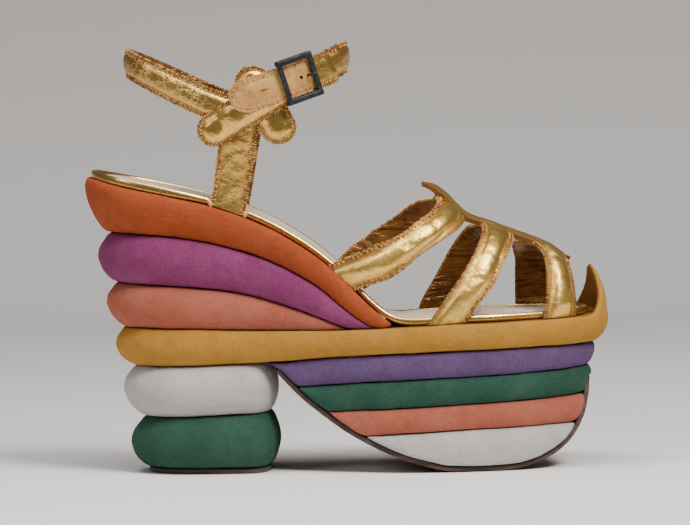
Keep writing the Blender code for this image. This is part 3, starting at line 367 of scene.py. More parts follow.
class Paint:
    """Principled material and the few node shapes that its finishes share."""

    def __init__(self, name, **settings):
        self.material = bpy.data.materials.new(name)
        self.material.use_nodes = True
        self.tree = self.material.node_tree
        self.shader = self.tree.nodes["Principled BSDF"]
        self.place = self.node("ShaderNodeTexCoord").outputs["Object"]
        for socket, value in settings.items():
            self.shader.inputs[socket.replace("_", " ")].default_value = value

    def node(self, kind, inputs=None, **settings):
        made = self.tree.nodes.new(kind)
        for key, value in settings.items():
            setattr(made, key, value)
        for socket, value in (inputs or {}).items():
            target = made.inputs[socket]
            if isinstance(value, bpy.types.NodeSocket):
                self.tree.links.new(value, target)
            else:
                target.default_value = value
        return made

    def to_shader(self, socket, value):
        self.tree.links.new(value, self.shader.inputs[socket])

    def stretched(self, scale, turn=(0.0, 0.0, 0.0)):
        return self.node("ShaderNodeMapping", {"Vector": self.place, "Scale": scale,
                                               "Rotation": turn}).outputs["Vector"]

    def cloud(self, scale, detail=3.0, rough=0.55, place=None, warp=0.0):
        return self.node("ShaderNodeTexNoise", {
            "Vector": place or self.place, "Scale": scale, "Detail": detail,
            "Roughness": rough, "Distortion": warp}).outputs["Fac"]

    def cells(self, scale, place=None, feature="DISTANCE_TO_EDGE"):
        return self.node("ShaderNodeTexVoronoi", {"Vector": place or self.place, "Scale": scale},
                         feature=feature).outputs["Distance"]

    def step(self, value, low, high, flip=False):
        """Smooth share from 0 at low to 1 at high."""
        ends = (1.0, 0.0) if flip else (0.0, 1.0)
        return self.node("ShaderNodeMapRange", {"Value": value, "From Min": low, "From Max": high,
                                                "To Min": ends[0], "To Max": ends[1]},
                         interpolation_type="SMOOTHSTEP").outputs["Result"]

    def between(self, value, low, high):
        """A value from 0 to 1 as a number from low to high."""
        return self.node("ShaderNodeMapRange", {"Value": value, "To Min": low,
                                                "To Max": high}).outputs["Result"]

    def share(self, value, amount):
        return self.math("MULTIPLY", value, amount)

    def math(self, kind, a, b):
        return self.node("ShaderNodeMath", {0: a, 1: b}, operation=kind).outputs[0]

    def mix(self, share, a, b, kind="MIX"):
        made = self.node("ShaderNodeMix", data_type="RGBA", blend_type=kind)
        sockets = {"Factor": made.inputs[0], "A": made.inputs[6], "B": made.inputs[7]}
        for key, value in (("Factor", share), ("A", a), ("B", b)):
            if isinstance(value, bpy.types.NodeSocket):
                self.tree.links.new(value, sockets[key])
            elif key == "Factor":
                sockets[key].default_value = value
            else:
                sockets[key].default_value = (*value, 1.0)
        return made.outputs[2]

    def number(self, name):
        return self.node("ShaderNodeAttribute", attribute_name=name).outputs["Fac"]

    def bump(self, height, strength, distance, under=None):
        made = self.node("ShaderNodeBump", {"Height": height, "Strength": strength,
                                            "Distance": distance})
        if under is not None:
            self.tree.links.new(under, made.inputs["Normal"])
        return made.outputs["Normal"]


BORDER_STAIN = (0.20, 0.075, 0.024)
CRACKED_FOIL = (0.90, 0.68, 0.34)
# Painted highlight colour for the lining's crease ridges.
LINING_PAINTED_HIGHLIGHT = (0.62, 0.38, 0.12)
SOLE_DARK = (0.050, 0.026, 0.016)
SOLE_BROWN = (0.125, 0.068, 0.042)
SOLE_SCUFF = (0.24, 0.155, 0.100)
SOLE_LINE = (0.045, 0.042, 0.045)
RED_THREAD = (0.30, 0.055, 0.020)
GOLD_THREAD = (0.80, 0.47, 0.130)
SOILED_THREAD = (0.40, 0.20, 0.07)
DARK_STEEL = (0.020, 0.021, 0.024)
PALE_STEEL = (0.044, 0.046, 0.052)
CHIPPED_STEEL = (0.22, 0.23, 0.25)
CREASE_TURN = (0.0, 0.35, 0.0)


def suede(name, base, light, dark, sheen):
    """Napped suede: faintly mottled by brushing, darkened in the creases by painted shade and dirt,
    with pale nap tips.
    """
    paint = Paint(name, Roughness=0.95, Sheen_Weight=sheen, Sheen_Roughness=0.5,
                  Sheen_Tint=(*light, 1.0), Specular_IOR_Level=0.12)
    brushed = paint.cloud(45.0, 4.0, 0.6)
    patches = paint.cloud(170.0, 5.0, 0.62, warp=0.4)
    grain = paint.cloud(1350.0, 3.0, 0.62)
    fibre = paint.cloud(3000.0, 2.0, 0.6)
    streak = paint.cloud(420.0, 2.0, 0.5, place=paint.stretched((0.35, 1.0, 1.6)))
    colour = paint.mix(paint.share(paint.step(brushed, 0.36, 0.70), 0.38), base, light)
    colour = paint.mix(paint.share(paint.step(patches, 0.46, 0.72), 0.28), colour, dark)
    pale_tips = paint.share(paint.step(grain, 0.50, 0.72), 0.34)
    colour = paint.mix(pale_tips, colour, light)
    pits = paint.share(paint.step(grain, 0.50, 0.32), 0.32)
    colour = paint.mix(pits, colour, dark)
    # Painted shade and dirt: the suede is darkened in the creases between layers, and painted shade
    # darkens the inside of the yellow beak.
    darkening = paint.share(paint.number("darkening"), 0.75)
    painted_shade_and_soil = tuple(channel * 0.45 for channel in dark)
    colour = paint.mix(darkening, colour, painted_shade_and_soil)
    paint.to_shader("Base Color", colour)
    nap = paint.bump(fibre, 0.40, 0.0003)
    nap = paint.bump(streak, 0.20, 0.0006, nap)
    nap = paint.bump(grain, 0.85, 0.0007, nap)
    paint.to_shader("Normal", paint.bump(patches, 0.35, 0.0014, nap))
    return paint.material


def gold_kid(name, base, worn, roughness, metal, wear_share, relief, crackle=0.0):
    """Gold-foiled kid: soft grain, fine cracks in the foil, brown where it is rubbed off."""
    paint = Paint(name, Metallic=metal, Specular_IOR_Level=0.5, Coat_Weight=0.04,
                  Coat_Roughness=0.25)
    wander = paint.node("ShaderNodeTexNoise", {"Vector": paint.place, "Scale": 190.0,
                                               "Detail": 4.0}).outputs["Color"]
    warped = paint.mix(0.010, (0.0, 0.0, 0.0), wander, "ADD")
    warped = paint.node("ShaderNodeVectorMath", {0: paint.place, 1: warped}).outputs["Vector"]
    cracks = paint.step(paint.cells(210.0, warped), 0.0, 0.034, flip=True)
    where = paint.share(paint.step(paint.cloud(42.0, 2.0), 0.44, 0.60), crackle)
    cracks = paint.share(cracks, paint.math("ADD", where, paint.number("cracked")))
    cloudy = paint.cloud(75.0, 4.0, 0.6)
    dents = paint.cloud(150.0, 3.0, 0.55, warp=0.6)
    rubbed = paint.cloud(210.0, 6.0, 0.7)
    speck = paint.cloud(1500.0, 3.0, 0.7)
    near_edge = paint.number("edge")
    bright = tuple(min(channel * 1.15, 1.0) for channel in base)
    colour = paint.mix(paint.step(cloudy, 0.38, 0.66), base, bright)
    wear = paint.share(paint.step(rubbed, 0.44, 0.72), paint.step(speck, 0.20, 0.62))
    wear = paint.share(wear, wear_share)
    colour = paint.mix(wear, colour, worn)
    colour = paint.mix(paint.share(near_edge, 0.85), colour, BORDER_STAIN)
    colour = paint.mix(cracks, colour, CRACKED_FOIL)
    paint.to_shader("Base Color", colour)
    dull = paint.math("ADD", wear, near_edge)
    paint.to_shader("Roughness", paint.between(dull, roughness, 0.60))
    grain = paint.bump(paint.cells(820.0, feature="F1"), 0.5 * relief, 0.0003)
    grain = paint.bump(paint.cloud(420.0, 4.0, 0.6), 0.9 * relief, 0.0006, grain)
    grain = paint.bump(cracks, 0.35, 0.0004, grain)
    grain = paint.bump(dents, relief, 0.0018, grain)
    paint.to_shader("Normal", paint.bump(cloudy, relief, 0.0040, grain))
    return paint.material


def lining_kid(name, base, worn):
    """Dull side of the kid, dark brown gold and drawn into creases across the strap, with a painted
    highlight on the crease ridges.
    """
    paint = Paint(name, Metallic=0.85, Specular_IOR_Level=0.5, Roughness=0.33)
    cloudy = paint.cloud(90.0, 4.0, 0.6)
    creases = paint.cloud(70.0, 4.0, 0.55, place=paint.stretched((0.5, 0.5, 1.9), CREASE_TURN),
                          warp=0.9)
    fine = paint.cloud(260.0, 3.0, 0.6, place=paint.stretched((0.6, 0.6, 1.6), CREASE_TURN))
    colour = paint.mix(paint.step(cloudy, 0.36, 0.66), base, worn)
    colour = paint.mix(paint.share(paint.number("edge"), 0.5), colour, BORDER_STAIN)
    # Painted highlight: brighter gold on the raised crease ridges.
    painted_crease_highlight = paint.share(paint.step(creases, 0.60, 0.70), 0.6)
    colour = paint.mix(painted_crease_highlight, colour, LINING_PAINTED_HIGHLIGHT)
    paint.to_shader("Base Color", colour)
    grain = paint.bump(fine, 0.35, 0.0008)
    paint.to_shader("Normal", paint.bump(creases, 0.9, 0.0045, grain))
    return paint.material


def smooth_leather(name, base, light, dark, roughness, pore_scale, edge_dark, creased):
    """Worn vegetable leather with pores, handling marks and stained edges."""
    paint = Paint(name, Specular_IOR_Level=0.4, Coat_Weight=0.05, Coat_Roughness=0.4)
    stains = paint.cloud(60.0, 5.0, 0.62, warp=0.5)
    mottle = paint.cloud(260.0, 4.0, 0.6)
    pores = paint.cells(pore_scale, feature="F1")
    colour = paint.mix(paint.step(stains, 0.36, 0.68), base, light)
    colour = paint.mix(paint.share(paint.step(mottle, 0.50, 0.74), 0.55), colour, dark)
    creases = paint.cloud(230.0, 3.0, 0.5, place=paint.stretched((1.8, 0.5, 0.5), CREASE_TURN),
                          warp=0.3)
    colour = paint.mix(paint.share(paint.step(creases, 0.55, 0.68), creased), colour, dark)
    colour = paint.mix(paint.share(paint.number("edge"), edge_dark), colour, dark)
    paint.to_shader("Base Color", colour)
    paint.to_shader("Roughness", paint.between(stains, roughness - 0.08, roughness + 0.14))
    marks = paint.bump(pores, 0.20, 0.0003)
    marks = paint.bump(creases, 0.55, 0.0016, marks)
    paint.to_shader("Normal", paint.bump(mottle, 0.30, 0.0005, marks))
    return paint.material


def sole_leather(name):
    """Stacked sole edge: brown and streaked, with a dark line along its top."""
    paint = Paint(name, Specular_IOR_Level=0.35, Roughness=0.62)
    streaks = paint.cloud(240.0, 5.0, 0.7, place=paint.stretched((0.25, 0.25, 2.4)))
    scuffs = paint.cloud(900.0, 4.0, 0.7)
    colour = paint.mix(paint.step(streaks, 0.34, 0.66), SOLE_DARK, SOLE_BROWN)
    scuffed = paint.share(paint.step(scuffs, 0.56, 0.72), 0.45)
    colour = paint.mix(scuffed, colour, SOLE_SCUFF)
    colour = paint.mix(paint.step(paint.number("upper"), 0.45, 0.80), colour, SOLE_LINE)
    paint.to_shader("Base Color", colour)
    marks = paint.bump(scuffs, 0.35, 0.0004)
    paint.to_shader("Normal", paint.bump(streaks, 0.45, 0.0006, marks))
    return paint.material


def thread(name):
    """Waxed thread, dark red in some stitches and gold in others."""
    paint = Paint(name, Roughness=0.50, Specular_IOR_Level=0.6)
    colour = paint.mix(paint.step(paint.number("dye"), 0.26, 0.36), RED_THREAD, GOLD_THREAD)
    darkening = paint.share(paint.step(paint.cloud(700.0, 3.0), 0.5, 0.7), 0.5)
    colour = paint.mix(darkening, colour, SOILED_THREAD)
    paint.to_shader("Base Color", colour)
    paint.to_shader("Normal", paint.bump(paint.cloud(3800.0, 2.0), 0.4, 0.0002))
    return paint.material


def worn_metal(name):
    """Blued steel, dull and chipped paler in spots."""
    paint = Paint(name, Metallic=0.55, Specular_IOR_Level=0.5)
    chips = paint.cloud(1100.0, 6.0, 0.72)
    cloudy = paint.cloud(260.0, 4.0, 0.6)
    colour = paint.mix(paint.step(cloudy, 0.38, 0.66), DARK_STEEL, PALE_STEEL)
    chipped = paint.share(paint.step(chips, 0.60, 0.72), 0.40)
    colour = paint.mix(chipped, colour, CHIPPED_STEEL)
    paint.to_shader("Base Color", colour)
    paint.to_shader("Roughness", paint.between(chips, 0.38, 0.66))
    paint.to_shader("Normal", paint.bump(chips, 0.35, 0.0003))
    return paint.material


Dye = namedtuple("Dye", "base light dark sheen")
DYES = {
    "suede_orange": Dye((0.37, 0.070, 0.022), (0.48, 0.125, 0.050), (0.21, 0.030, 0.008), 0.07),
    "suede_magenta": Dye((0.235, 0.042, 0.130), (0.34, 0.095, 0.215), (0.13, 0.017, 0.066), 0.08),
    "suede_salmon": Dye((0.40, 0.108, 0.066), (0.53, 0.190, 0.130), (0.26, 0.058, 0.032), 0.08),
    "suede_yellow": Dye((0.45, 0.215, 0.034), (0.57, 0.310, 0.070), (0.27, 0.115, 0.014), 0.07),
    "suede_violet": Dye((0.112, 0.064, 0.155), (0.190, 0.120, 0.245), (0.052, 0.027, 0.078), 0.08),
    "suede_green": Dye((0.026, 0.078, 0.052), (0.062, 0.135, 0.100), (0.010, 0.034, 0.023), 0.07),
    "suede_white": Dye((0.50, 0.475, 0.440), (0.62, 0.600, 0.570), (0.32, 0.295, 0.265), 0.07),
}
suedes = {slot: suede(slot, *dye) for slot, dye in DYES.items()}
GOLD = gold_kid("gold_kid", (0.84, 0.53, 0.125), (0.44, 0.215, 0.055),
                roughness=0.35, metal=0.95, wear_share=0.55, relief=0.22)
# Darker copies of the vamp gold for the upright ankle pieces: painted shade on the knot bands, and
# painted shade with older, cracked foil on the ankle strap, posts and strap end.
SHADED_KNOT_GOLD = gold_kid("shaded_knot_gold_kid", (0.74, 0.45, 0.110), (0.42, 0.21, 0.055),
                     roughness=0.27, metal=0.95, wear_share=0.4, relief=0.16)
WORN_SHADED_GOLD = gold_kid("worn_shaded_gold_kid", (0.66, 0.39, 0.095), (0.38, 0.185, 0.050),
                    roughness=0.31, metal=0.93, wear_share=0.5, relief=0.26, crackle=0.25)
LINING = lining_kid("gold_lining", (0.27, 0.130, 0.034), (0.150, 0.065, 0.020))
PIPING = gold_kid("gold_piping", (0.78, 0.48, 0.140), (0.42, 0.21, 0.070),
                  roughness=0.26, metal=0.95, wear_share=0.3, relief=0.06)
TAN = smooth_leather("tan_leather", (0.58, 0.290, 0.082), (0.74, 0.440, 0.155), (0.34, 0.150, 0.045),
                     roughness=0.42, pore_scale=900.0, edge_dark=0.35, creased=0.60)
BED = smooth_leather("insole_leather", (0.72, 0.560, 0.430), (0.80, 0.660, 0.540),
                     (0.52, 0.370, 0.260), roughness=0.50, pore_scale=1100.0, edge_dark=0.3,
                     creased=0.0)
SOLE = sole_leather("sole_leather")
THREAD = thread("thread")
METAL = worn_metal("dark_metal")


# Suede layers

Pucker = namedtuple("Pucker", "x y z along reach width depth")
PUCKERS = {
    "platform_layer_green": [Pucker(0.150, -0.040, 0.0375, (0.5, 0.0, 1.0), 0.006, 0.0009, 0.0007),
                             Pucker(0.153, -0.040, 0.0405, (1.0, 0.0, 0.15), 0.006, 0.0009, 0.0006)],
    "heel_layer_white": [Pucker(0.004, -0.030, 0.030, (1.0, 0.0, 0.05), 0.013, 0.0010, 0.0006),
                         Pucker(0.020, -0.028, 0.034, (0.3, 0.0, 1.0), 0.007, 0.0012, 0.0006)],
    "heel_layer_green": [Pucker(-0.020, -0.026, 0.006, (1.0, 0.0, 0.5), 0.009, 0.0011, 0.0007),
                         Pucker(0.020, -0.028, 0.007, (1.0, 0.0, -0.4), 0.010, 0.0011, 0.0007)],
    "platform_layer_yellow": [Pucker(-0.028, -0.030, 0.056, (1.0, 0.0, 0.25), 0.014, 0.0012, 0.0006),
                              Pucker(0.062, -0.038, 0.056, (1.0, 0.0, 0.1), 0.020, 0.0015, 0.0005),
                              Pucker(0.168, -0.026, 0.060, (0.4, 0.3, 1.0), 0.008, 0.0014, 0.0007)],
    "wedge_layer_magenta": [Pucker(-0.030, -0.032, 0.092, (1.0, 0.0, -0.2), 0.018, 0.0016, 0.0005)],
    "wedge_layer_salmon": [Pucker(-0.032, -0.030, 0.068, (1.0, 0.0, 0.15), 0.016, 0.0013, 0.0006)],
    "wedge_layer_orange": [Pucker(-0.020, -0.036, 0.118, (1.0, 0.0, -0.15), 0.022, 0.0018, 0.0004)],
}


def pucker_depth(places, pucker):
    """Depth of one drawn-in fold at each point."""
    away = places - np.array([pucker.x, pucker.y, pucker.z])
    along = np.array(Vector(pucker.along).normalized())
    run = away @ along
    off = np.linalg.norm(away - np.outer(run, along), axis=1)
    return pucker.depth * np.exp(-(off / pucker.width) ** 2) * np.exp(-(run / pucker.reach) ** 2)


# Thin ends of layers drawn out further: where the end stands, how far it goes and whether it
# thins towards the layer's upper face
Tip = namedtuple("Tip", "x reach upper")
TIPS = {
    "wedge_layer_magenta": Tip(0.0712, 0.0048, False),
    "wedge_layer_salmon": Tip(0.0573, 0.0058, False),
    "platform_layer_violet": Tip(0.0328, -0.0050, True),
    "platform_layer_green": Tip(0.0410, -0.0012, True),
    "platform_layer_salmon": Tip(0.0543, -0.0012, True),
}
TIP_SPAN = 0.0026
TIP_THINNING = 0.85

# Round heel ends: how far a level between a layer's lower and upper face is moved to the toe
BACK_SPAN = 0.016
BACK_LEVELS = [0.0, 0.25, 0.50, 0.70, 0.86, 1.0]
BACK_SHIFTS = [0.0004, -0.0010, -0.0011, 0.0, 0.0017, 0.0022]
ROUND_BACKS = ("wedge_layer_magenta", "wedge_layer_salmon", "platform_layer_yellow",
               "heel_layer_white", "heel_layer_green")

# The yellow layer's beak
PLATFORM_RIM = 0.0700
HOLLOW_START = 0.140
BEAK_START = 0.148
BEAK_SPAN = 0.014
BEAK_RISE = 0.17
BEAK_REACH = 0.0008

CAP_REACH = 0.016
CAP_RING = 0.0014
LAYER_VOXEL = 0.00105
LEVEL_STEP = 0.003
PLATFORM_LAYERS_BELOW = 0.06
ROLL_SWELL = 0.062
ROLL_LIMIT = 0.0014
CREASE_CLOSE = 0.00017
COVER_WAVES = [Wave(0.00020, 0.014), Wave(0.00010, 0.0045)]


def ease(values):
    """Values from 0 to 1 with soft ends."""
    values = np.clip(values, 0.0, 1.0)
    return values * values * (3.0 - 2.0 * values)


def height_range(places):
    """Lowest and highest height of a layer at each of its points' own place along the shoe."""
    cell = np.round(places[:, 0] / LEVEL_STEP).astype(int)
    cells = np.unique(cell)
    low = np.array([places[cell == c, 2].min() for c in cells])
    high = np.array([places[cell == c, 2].max() for c in cells])
    runs = cells * LEVEL_STEP
    lowest, highest = np.interp(places[:, 0], runs, low), np.interp(places[:, 0], runs, high)
    if low.min() < PLATFORM_LAYERS_BELOW:
        highest = np.minimum(highest, PLATFORM_RIM)
    return lowest, highest


def draw_out(places, tip):
    """Run the thin end of a layer out to a point."""
    span = TIP_SPAN if tip.reach > 0 else -TIP_SPAN
    near = ease((places[:, 0] - (tip.x - span)) / span)
    low, high = height_range(places)
    base = high if tip.upper else low
    places[:, 0] += near * tip.reach
    places[:, 2] = base + (places[:, 2] - base) * (1.0 - TIP_THINNING * near)
    return places


def raise_beak(places):
    """Draw the upturned toe of the yellow layer higher and a little further forward."""
    near = ease((places[:, 0] - BEAK_START) / BEAK_SPAN)
    over = np.maximum(places[:, 2] - PLATFORM_RIM, 0.0)
    places[:, 2] += BEAK_RISE * over * near
    places[:, 0] += BEAK_REACH * near
    return places


def round_back(places):
    """Turn the heel end of a layer into a round roll, fullest just below its middle."""
    limit = places[:, 0].min() + BACK_SPAN
    near = ease((limit - places[:, 0]) / BACK_SPAN)
    end = places[places[:, 0] < limit, 2]
    level = (places[:, 2] - end.min()) / (end.max() - end.min())
    places[:, 0] += near * np.interp(level, BACK_LEVELS, BACK_SHIFTS)
    return places


def swollen(places, normals):
    """Push the sides out into full round rolls, and close the creases between neighbours."""
    low, high = height_range(places)
    thickness = np.maximum(high - low, 1e-5)
    level = np.clip((places[:, 2] - low) / thickness, 0.0, 1.0)
    flat = np.hypot(normals[:, 0], normals[:, 1])
    amount = np.minimum(ROLL_SWELL * thickness, ROLL_LIMIT) * 4.0 * level * (1.0 - level) * flat
    out = normals[:, :2] / np.maximum(flat, 1e-5)[:, None]
    places[:, :2] += out * amount[:, None]
    return places + normals * CREASE_CLOSE


def painted_shade_and_soil(node, places, normals):
    """Share of painted shade and dirt in the creases, and of painted shade on the beak's inside."""
    darkening = ease((np.abs(normals[:, 2]) - 0.90) / 0.1)
    if node != "platform_layer_yellow":
        return darkening
    hollow = (places[:, 0] > HOLLOW_START) & (places[:, 2] > PLATFORM_RIM)
    inside = hollow & (normals[:, 0] < 0.15)
    return np.where(inside, ease((0.15 - normals[:, 0]) / 0.4), darkening)


def suede_layer(node, slot, seed):
    """One swelling layer under its suede cover."""
    piece = copy_of(node, node + "_cover")
    inset_caps(piece, CAP_REACH, CAP_RING)
    apply_modifier(piece, "SUBSURF", levels=2, render_levels=2)
    even_mesh(piece, LAYER_VOXEL, 2)
    places, normals = points_of(piece)
    if node in TIPS:
        places = draw_out(places, TIPS[node])
    places = swollen(places, normals)
    if node in ROUND_BACKS:
        places = round_back(places)
    if node == "platform_layer_yellow":
        places = raise_beak(places)
    out = uneven(places, COVER_WAVES, seed)
    for pucker in PUCKERS.get(node, []):
        out -= pucker_depth(places, pucker)
    move_points(piece, places + normals * out[:, None])
    # Painted shade and dirt in the creases, painted shade inside the beak.
    mark(piece, "darkening", painted_shade_and_soil(node, places, normals))
    finish_piece(piece, node, slot, suedes[slot])


LAYERS = {
    "wedge_layer_orange": "suede_orange",
    "wedge_layer_magenta": "suede_magenta",
    "wedge_layer_salmon": "suede_salmon",
    "platform_layer_yellow": "suede_yellow",
    "platform_layer_violet": "suede_violet",
    "platform_layer_green": "suede_green",
    "platform_layer_salmon": "suede_salmon",
    "platform_layer_white": "suede_white",
    "heel_layer_white": "suede_white",
    "heel_layer_green": "suede_green",
}
for turn_, (node_, slot_) in enumerate(LAYERS.items()):
    suede_layer(node_, slot_, 3 * turn_)


# Sole, insole and piping

SHARP_FOLD = radians(50)
SHARP_CREASE = 0.85
GROUND_HEIGHT = 0.0004


def sole_piece(node, name, wear):
    """Leather sole or lift with a dark line along its upper edge."""
    piece = copy_of(node, name)
    shape = bmesh.new()
    shape.from_mesh(piece.data)
    upper = []
    for corner in shape.verts:
        lean = sum((face.normal * face.calc_area() for face in corner.link_faces), Vector())
        upper.append(1.0 if lean.z > 0.0 else 0.0)
    crease = shape.edges.layers.float.new("crease_edge")
    for line in shape.edges:
        if len(line.link_faces) == 2 and line.calc_face_angle() > SHARP_FOLD:
            line[crease] = SHARP_CREASE
    shape.to_mesh(piece.data)
    shape.free()
    mark(piece, "upper", upper)
    apply_modifier(piece, "SUBSURF", levels=3, render_levels=3)
    places, normals = points_of(piece)
    out = uneven(places, [Wave(wear, 0.0035), Wave(wear / 2, 0.0012)], 51)
    out[places[:, 2] < GROUND_HEIGHT] = 0.0
    move_points(piece, places + normals * out[:, None])
    finish_piece(piece, node, "sole_leather", SOLE)


sole_piece("outsole", "platform_outsole", 0.00010)
sole_piece("heel_top_piece", "heel_lift", 0.00008)


SEAT_MIDDLE = np.array([-0.024, 0.0015])
POSTS_AT = 0.004
HEEL_SPAN = 0.024
HEEL_ROLL = 0.00032
BED_TO_EDGE = 0.0017
PIPING_TO_EDGE = 0.0019


def behind_posts(places):
    """Share from 0 at the posts to 1 round the heel."""
    return ease((POSTS_AT - places[:, 0]) / HEEL_SPAN)


def to_heel_edge(places, reach):
    """Draw points behind the posts outwards, to the edge of the seat."""
    away = places[:, :2] - SEAT_MIDDLE
    away[:, 0] = np.minimum(away[:, 0], 0.0)
    length = np.maximum(np.hypot(away[:, 0], away[:, 1]), 1e-5)
    share = behind_posts(places) * np.clip(length / 0.020, 0.0, 1.0)
    places[:, :2] += away / length[:, None] * (share * reach)[:, None]
    return places


def foot_bed():
    """Insole, a little uneven where a foot has pressed it."""
    piece = copy_of("insole", "insole_lining")
    inset_caps(piece, 0.012, 0.0012)
    apply_modifier(piece, "SUBSURF", levels=2, render_levels=2)
    even_mesh(piece, 0.0009, 3)
    places, normals = points_of(piece)
    places = to_heel_edge(places, BED_TO_EDGE)
    out = uneven(places, [Wave(0.00018, 0.017), Wave(0.00006, 0.005)], 61)
    move_points(piece, places + normals * out[:, None])
    mark(piece, "edge", np.clip((0.75 - normals[:, 2]) / 0.5, 0.0, 1.0))
    finish_piece(piece, "insole", "insole_leather", BED)


def piping():
    """Rolled gold piping round the insole."""
    piece = copy_of("insole_binding", "insole_piping")
    apply_modifier(piece, "SUBSURF", levels=2, render_levels=2)
    places, normals = points_of(piece)
    places = to_heel_edge(places, PIPING_TO_EDGE)
    out = uneven(places, [Wave(0.00004, 0.0060)], 71)
    out += HEEL_ROLL * behind_posts(places) * np.abs(normals[:, 2])
    move_points(piece, places + normals * out[:, None])
    mark(piece, "edge", np.zeros(len(places)))
    finish_piece(piece, "insole_binding", "gold_kid", PIPING)


foot_bed()
piping()


# Straps

Strip = namedtuple("Strip", "name surface inset long wide edge crown folds")
Fold = namedtuple("Fold", "at slant width depth")


KID_WAVES = [Wave(0.00016, 0.0060), Wave(0.00009, 0.0021)]
GROOVE_DEPTH = 0.16
GROOVE_WIDTH = 0.00045
EDGE_STAIN_START = 0.0006
EDGE_STAIN_SPAN = BORDER - 0.0004


def dome(distance, half):
    """Share of the padding at a distance from the stitched edge."""
    if distance <= BORDER:
        return 0.0
    t = min((distance - BORDER) / (half - BORDER), 1.0)
    return sqrt(max(1.0 - (1.0 - t) ** 2.2, 0.0))


def spread(across):
    """Places across a strip, closer at its borders."""
    return across * (1.5 - 0.5 * across * across)


def strip_mesh(strip, crown_at):
    """Flat grid of kid, laid on its surface and padded between its borders."""
    bpy.ops.object.select_all(action="DESELECT")
    bpy.ops.mesh.primitive_grid_add(x_subdivisions=strip.long, y_subdivisions=strip.wide, size=2.0)
    piece = bpy.context.object
    piece.name = strip.name
    piece.data.name = strip.name
    grid = points_of(piece)[0]
    inner, near, pads = [], [], []
    full = strip.edge + strip.crown
    for x, y, z in grid:
        u = (x + 1) / 2
        v = spread(y)
        inner.append(place(strip.surface(u, v)))
        distance, half = strip.inset(u, v)
        pad = dome(distance, half) * crown_at(u)
        for fold in strip.folds:
            off = (u - fold.at - fold.slant * v) / fold.width
            pad *= 1.0 - fold.depth * exp(-off * off)
        groove = GROOVE_DEPTH * exp(-((distance - BORDER) / GROOVE_WIDTH) ** 2)
        pads.append((strip.edge * (1.0 - groove) + strip.crown * pad) / full)
        near.append(1.0 - min(max((distance - EDGE_STAIN_START) / EDGE_STAIN_SPAN, 0.0), 1.0))
    move_points(piece, np.array(inner))
    mark(piece, "edge", near)
    group = piece.vertex_groups.new(name="padding")
    for i, pad in enumerate(pads):
        group.add([i], pad, "REPLACE")
    edit(piece)
    bpy.ops.mesh.remove_doubles(threshold=0.00002)
    leave_edit()
    return piece, full


def turn_outwards(piece, centre):
    """Face an open strip away from a point inside the foot."""
    middle = len(piece.data.polygons) // 2
    face = piece.data.polygons[middle]
    if face.normal.dot(face.center - centre) < 0:
        edit(piece)
        bpy.ops.mesh.flip_normals()
        leave_edit()


def leather_strip(strip, seed, centre, outside, node, slot, crown_at=lambda u: 1.0):
    """Padded strip with its lining, wrinkled a little."""
    piece, full = strip_mesh(strip, crown_at)
    turn_outwards(piece, centre)
    piece.data.materials.append(outside)
    piece.data.materials.append(LINING)
    apply_modifier(piece, "SOLIDIFY", thickness=full, offset=1.0, vertex_group="padding",
                   material_offset=1, use_even_offset=False)
    places, normals = points_of(piece)
    out = uneven(places, KID_WAVES, seed)
    move_points(piece, places + normals * out[:, None])
    return finish_piece(piece, node, slot)


def strip_edges(steps):
    """The two long edges of a strip as rows of (u, v)."""
    shares = [k / steps for k in range(steps + 1)]
    return [[(u, -1.0) for u in shares], [(u, 1.0) for u in shares]]


def round_edge(steps, start, finish):
    """The edge of a strip as one row that goes round its round ends."""
    shares = [0.5 - 0.5 * cos(pi * k / steps) for k in range(steps + 1)]
    low = [(u, -1.0) for u in shares]
    high = [(u, 1.0) for u in shares]
    if start and finish:
        return [low + high[::-1][1:-1] + low[:1]]
    return [high[::-1] + low[1:]]


STITCH_REACH = 0.0021
STITCH_PITCH = 0.00112
THREAD_SIDES = 5
THREAD_RADIUS = 0.00025
THREAD_LIFT = 0.00010
THREAD_DIP = 0.00036


def add_bar(points, faces, path, along, up):
    """Add the rings and faces of one bar of thread to the lists."""
    sides = THREAD_SIDES
    base = len(points)
    last = len(path) - 1
    for i, spot in enumerate(path):
        way = (path[min(i + 1, last)] - path[max(i - 1, 0)]).normalized()
        side = way.cross(along)
        side = side.normalized() if side.length > 1e-6 else up
        other = way.cross(side)
        for s in range(sides):
            angle = 2 * pi * s / sides
            points.append(spot + THREAD_RADIUS * (side * cos(angle) + other * sin(angle)))
        if i:
            for s in range(sides):
                a, b = base + (i - 1) * sides + s, base + (i - 1) * sides + (s + 1) % sides
                faces.append((a, a + sides, b + sides, b))
    faces.append(tuple(base + s for s in range(sides)))
    faces.append(tuple(base + last * sides + s for s in reversed(range(sides))))


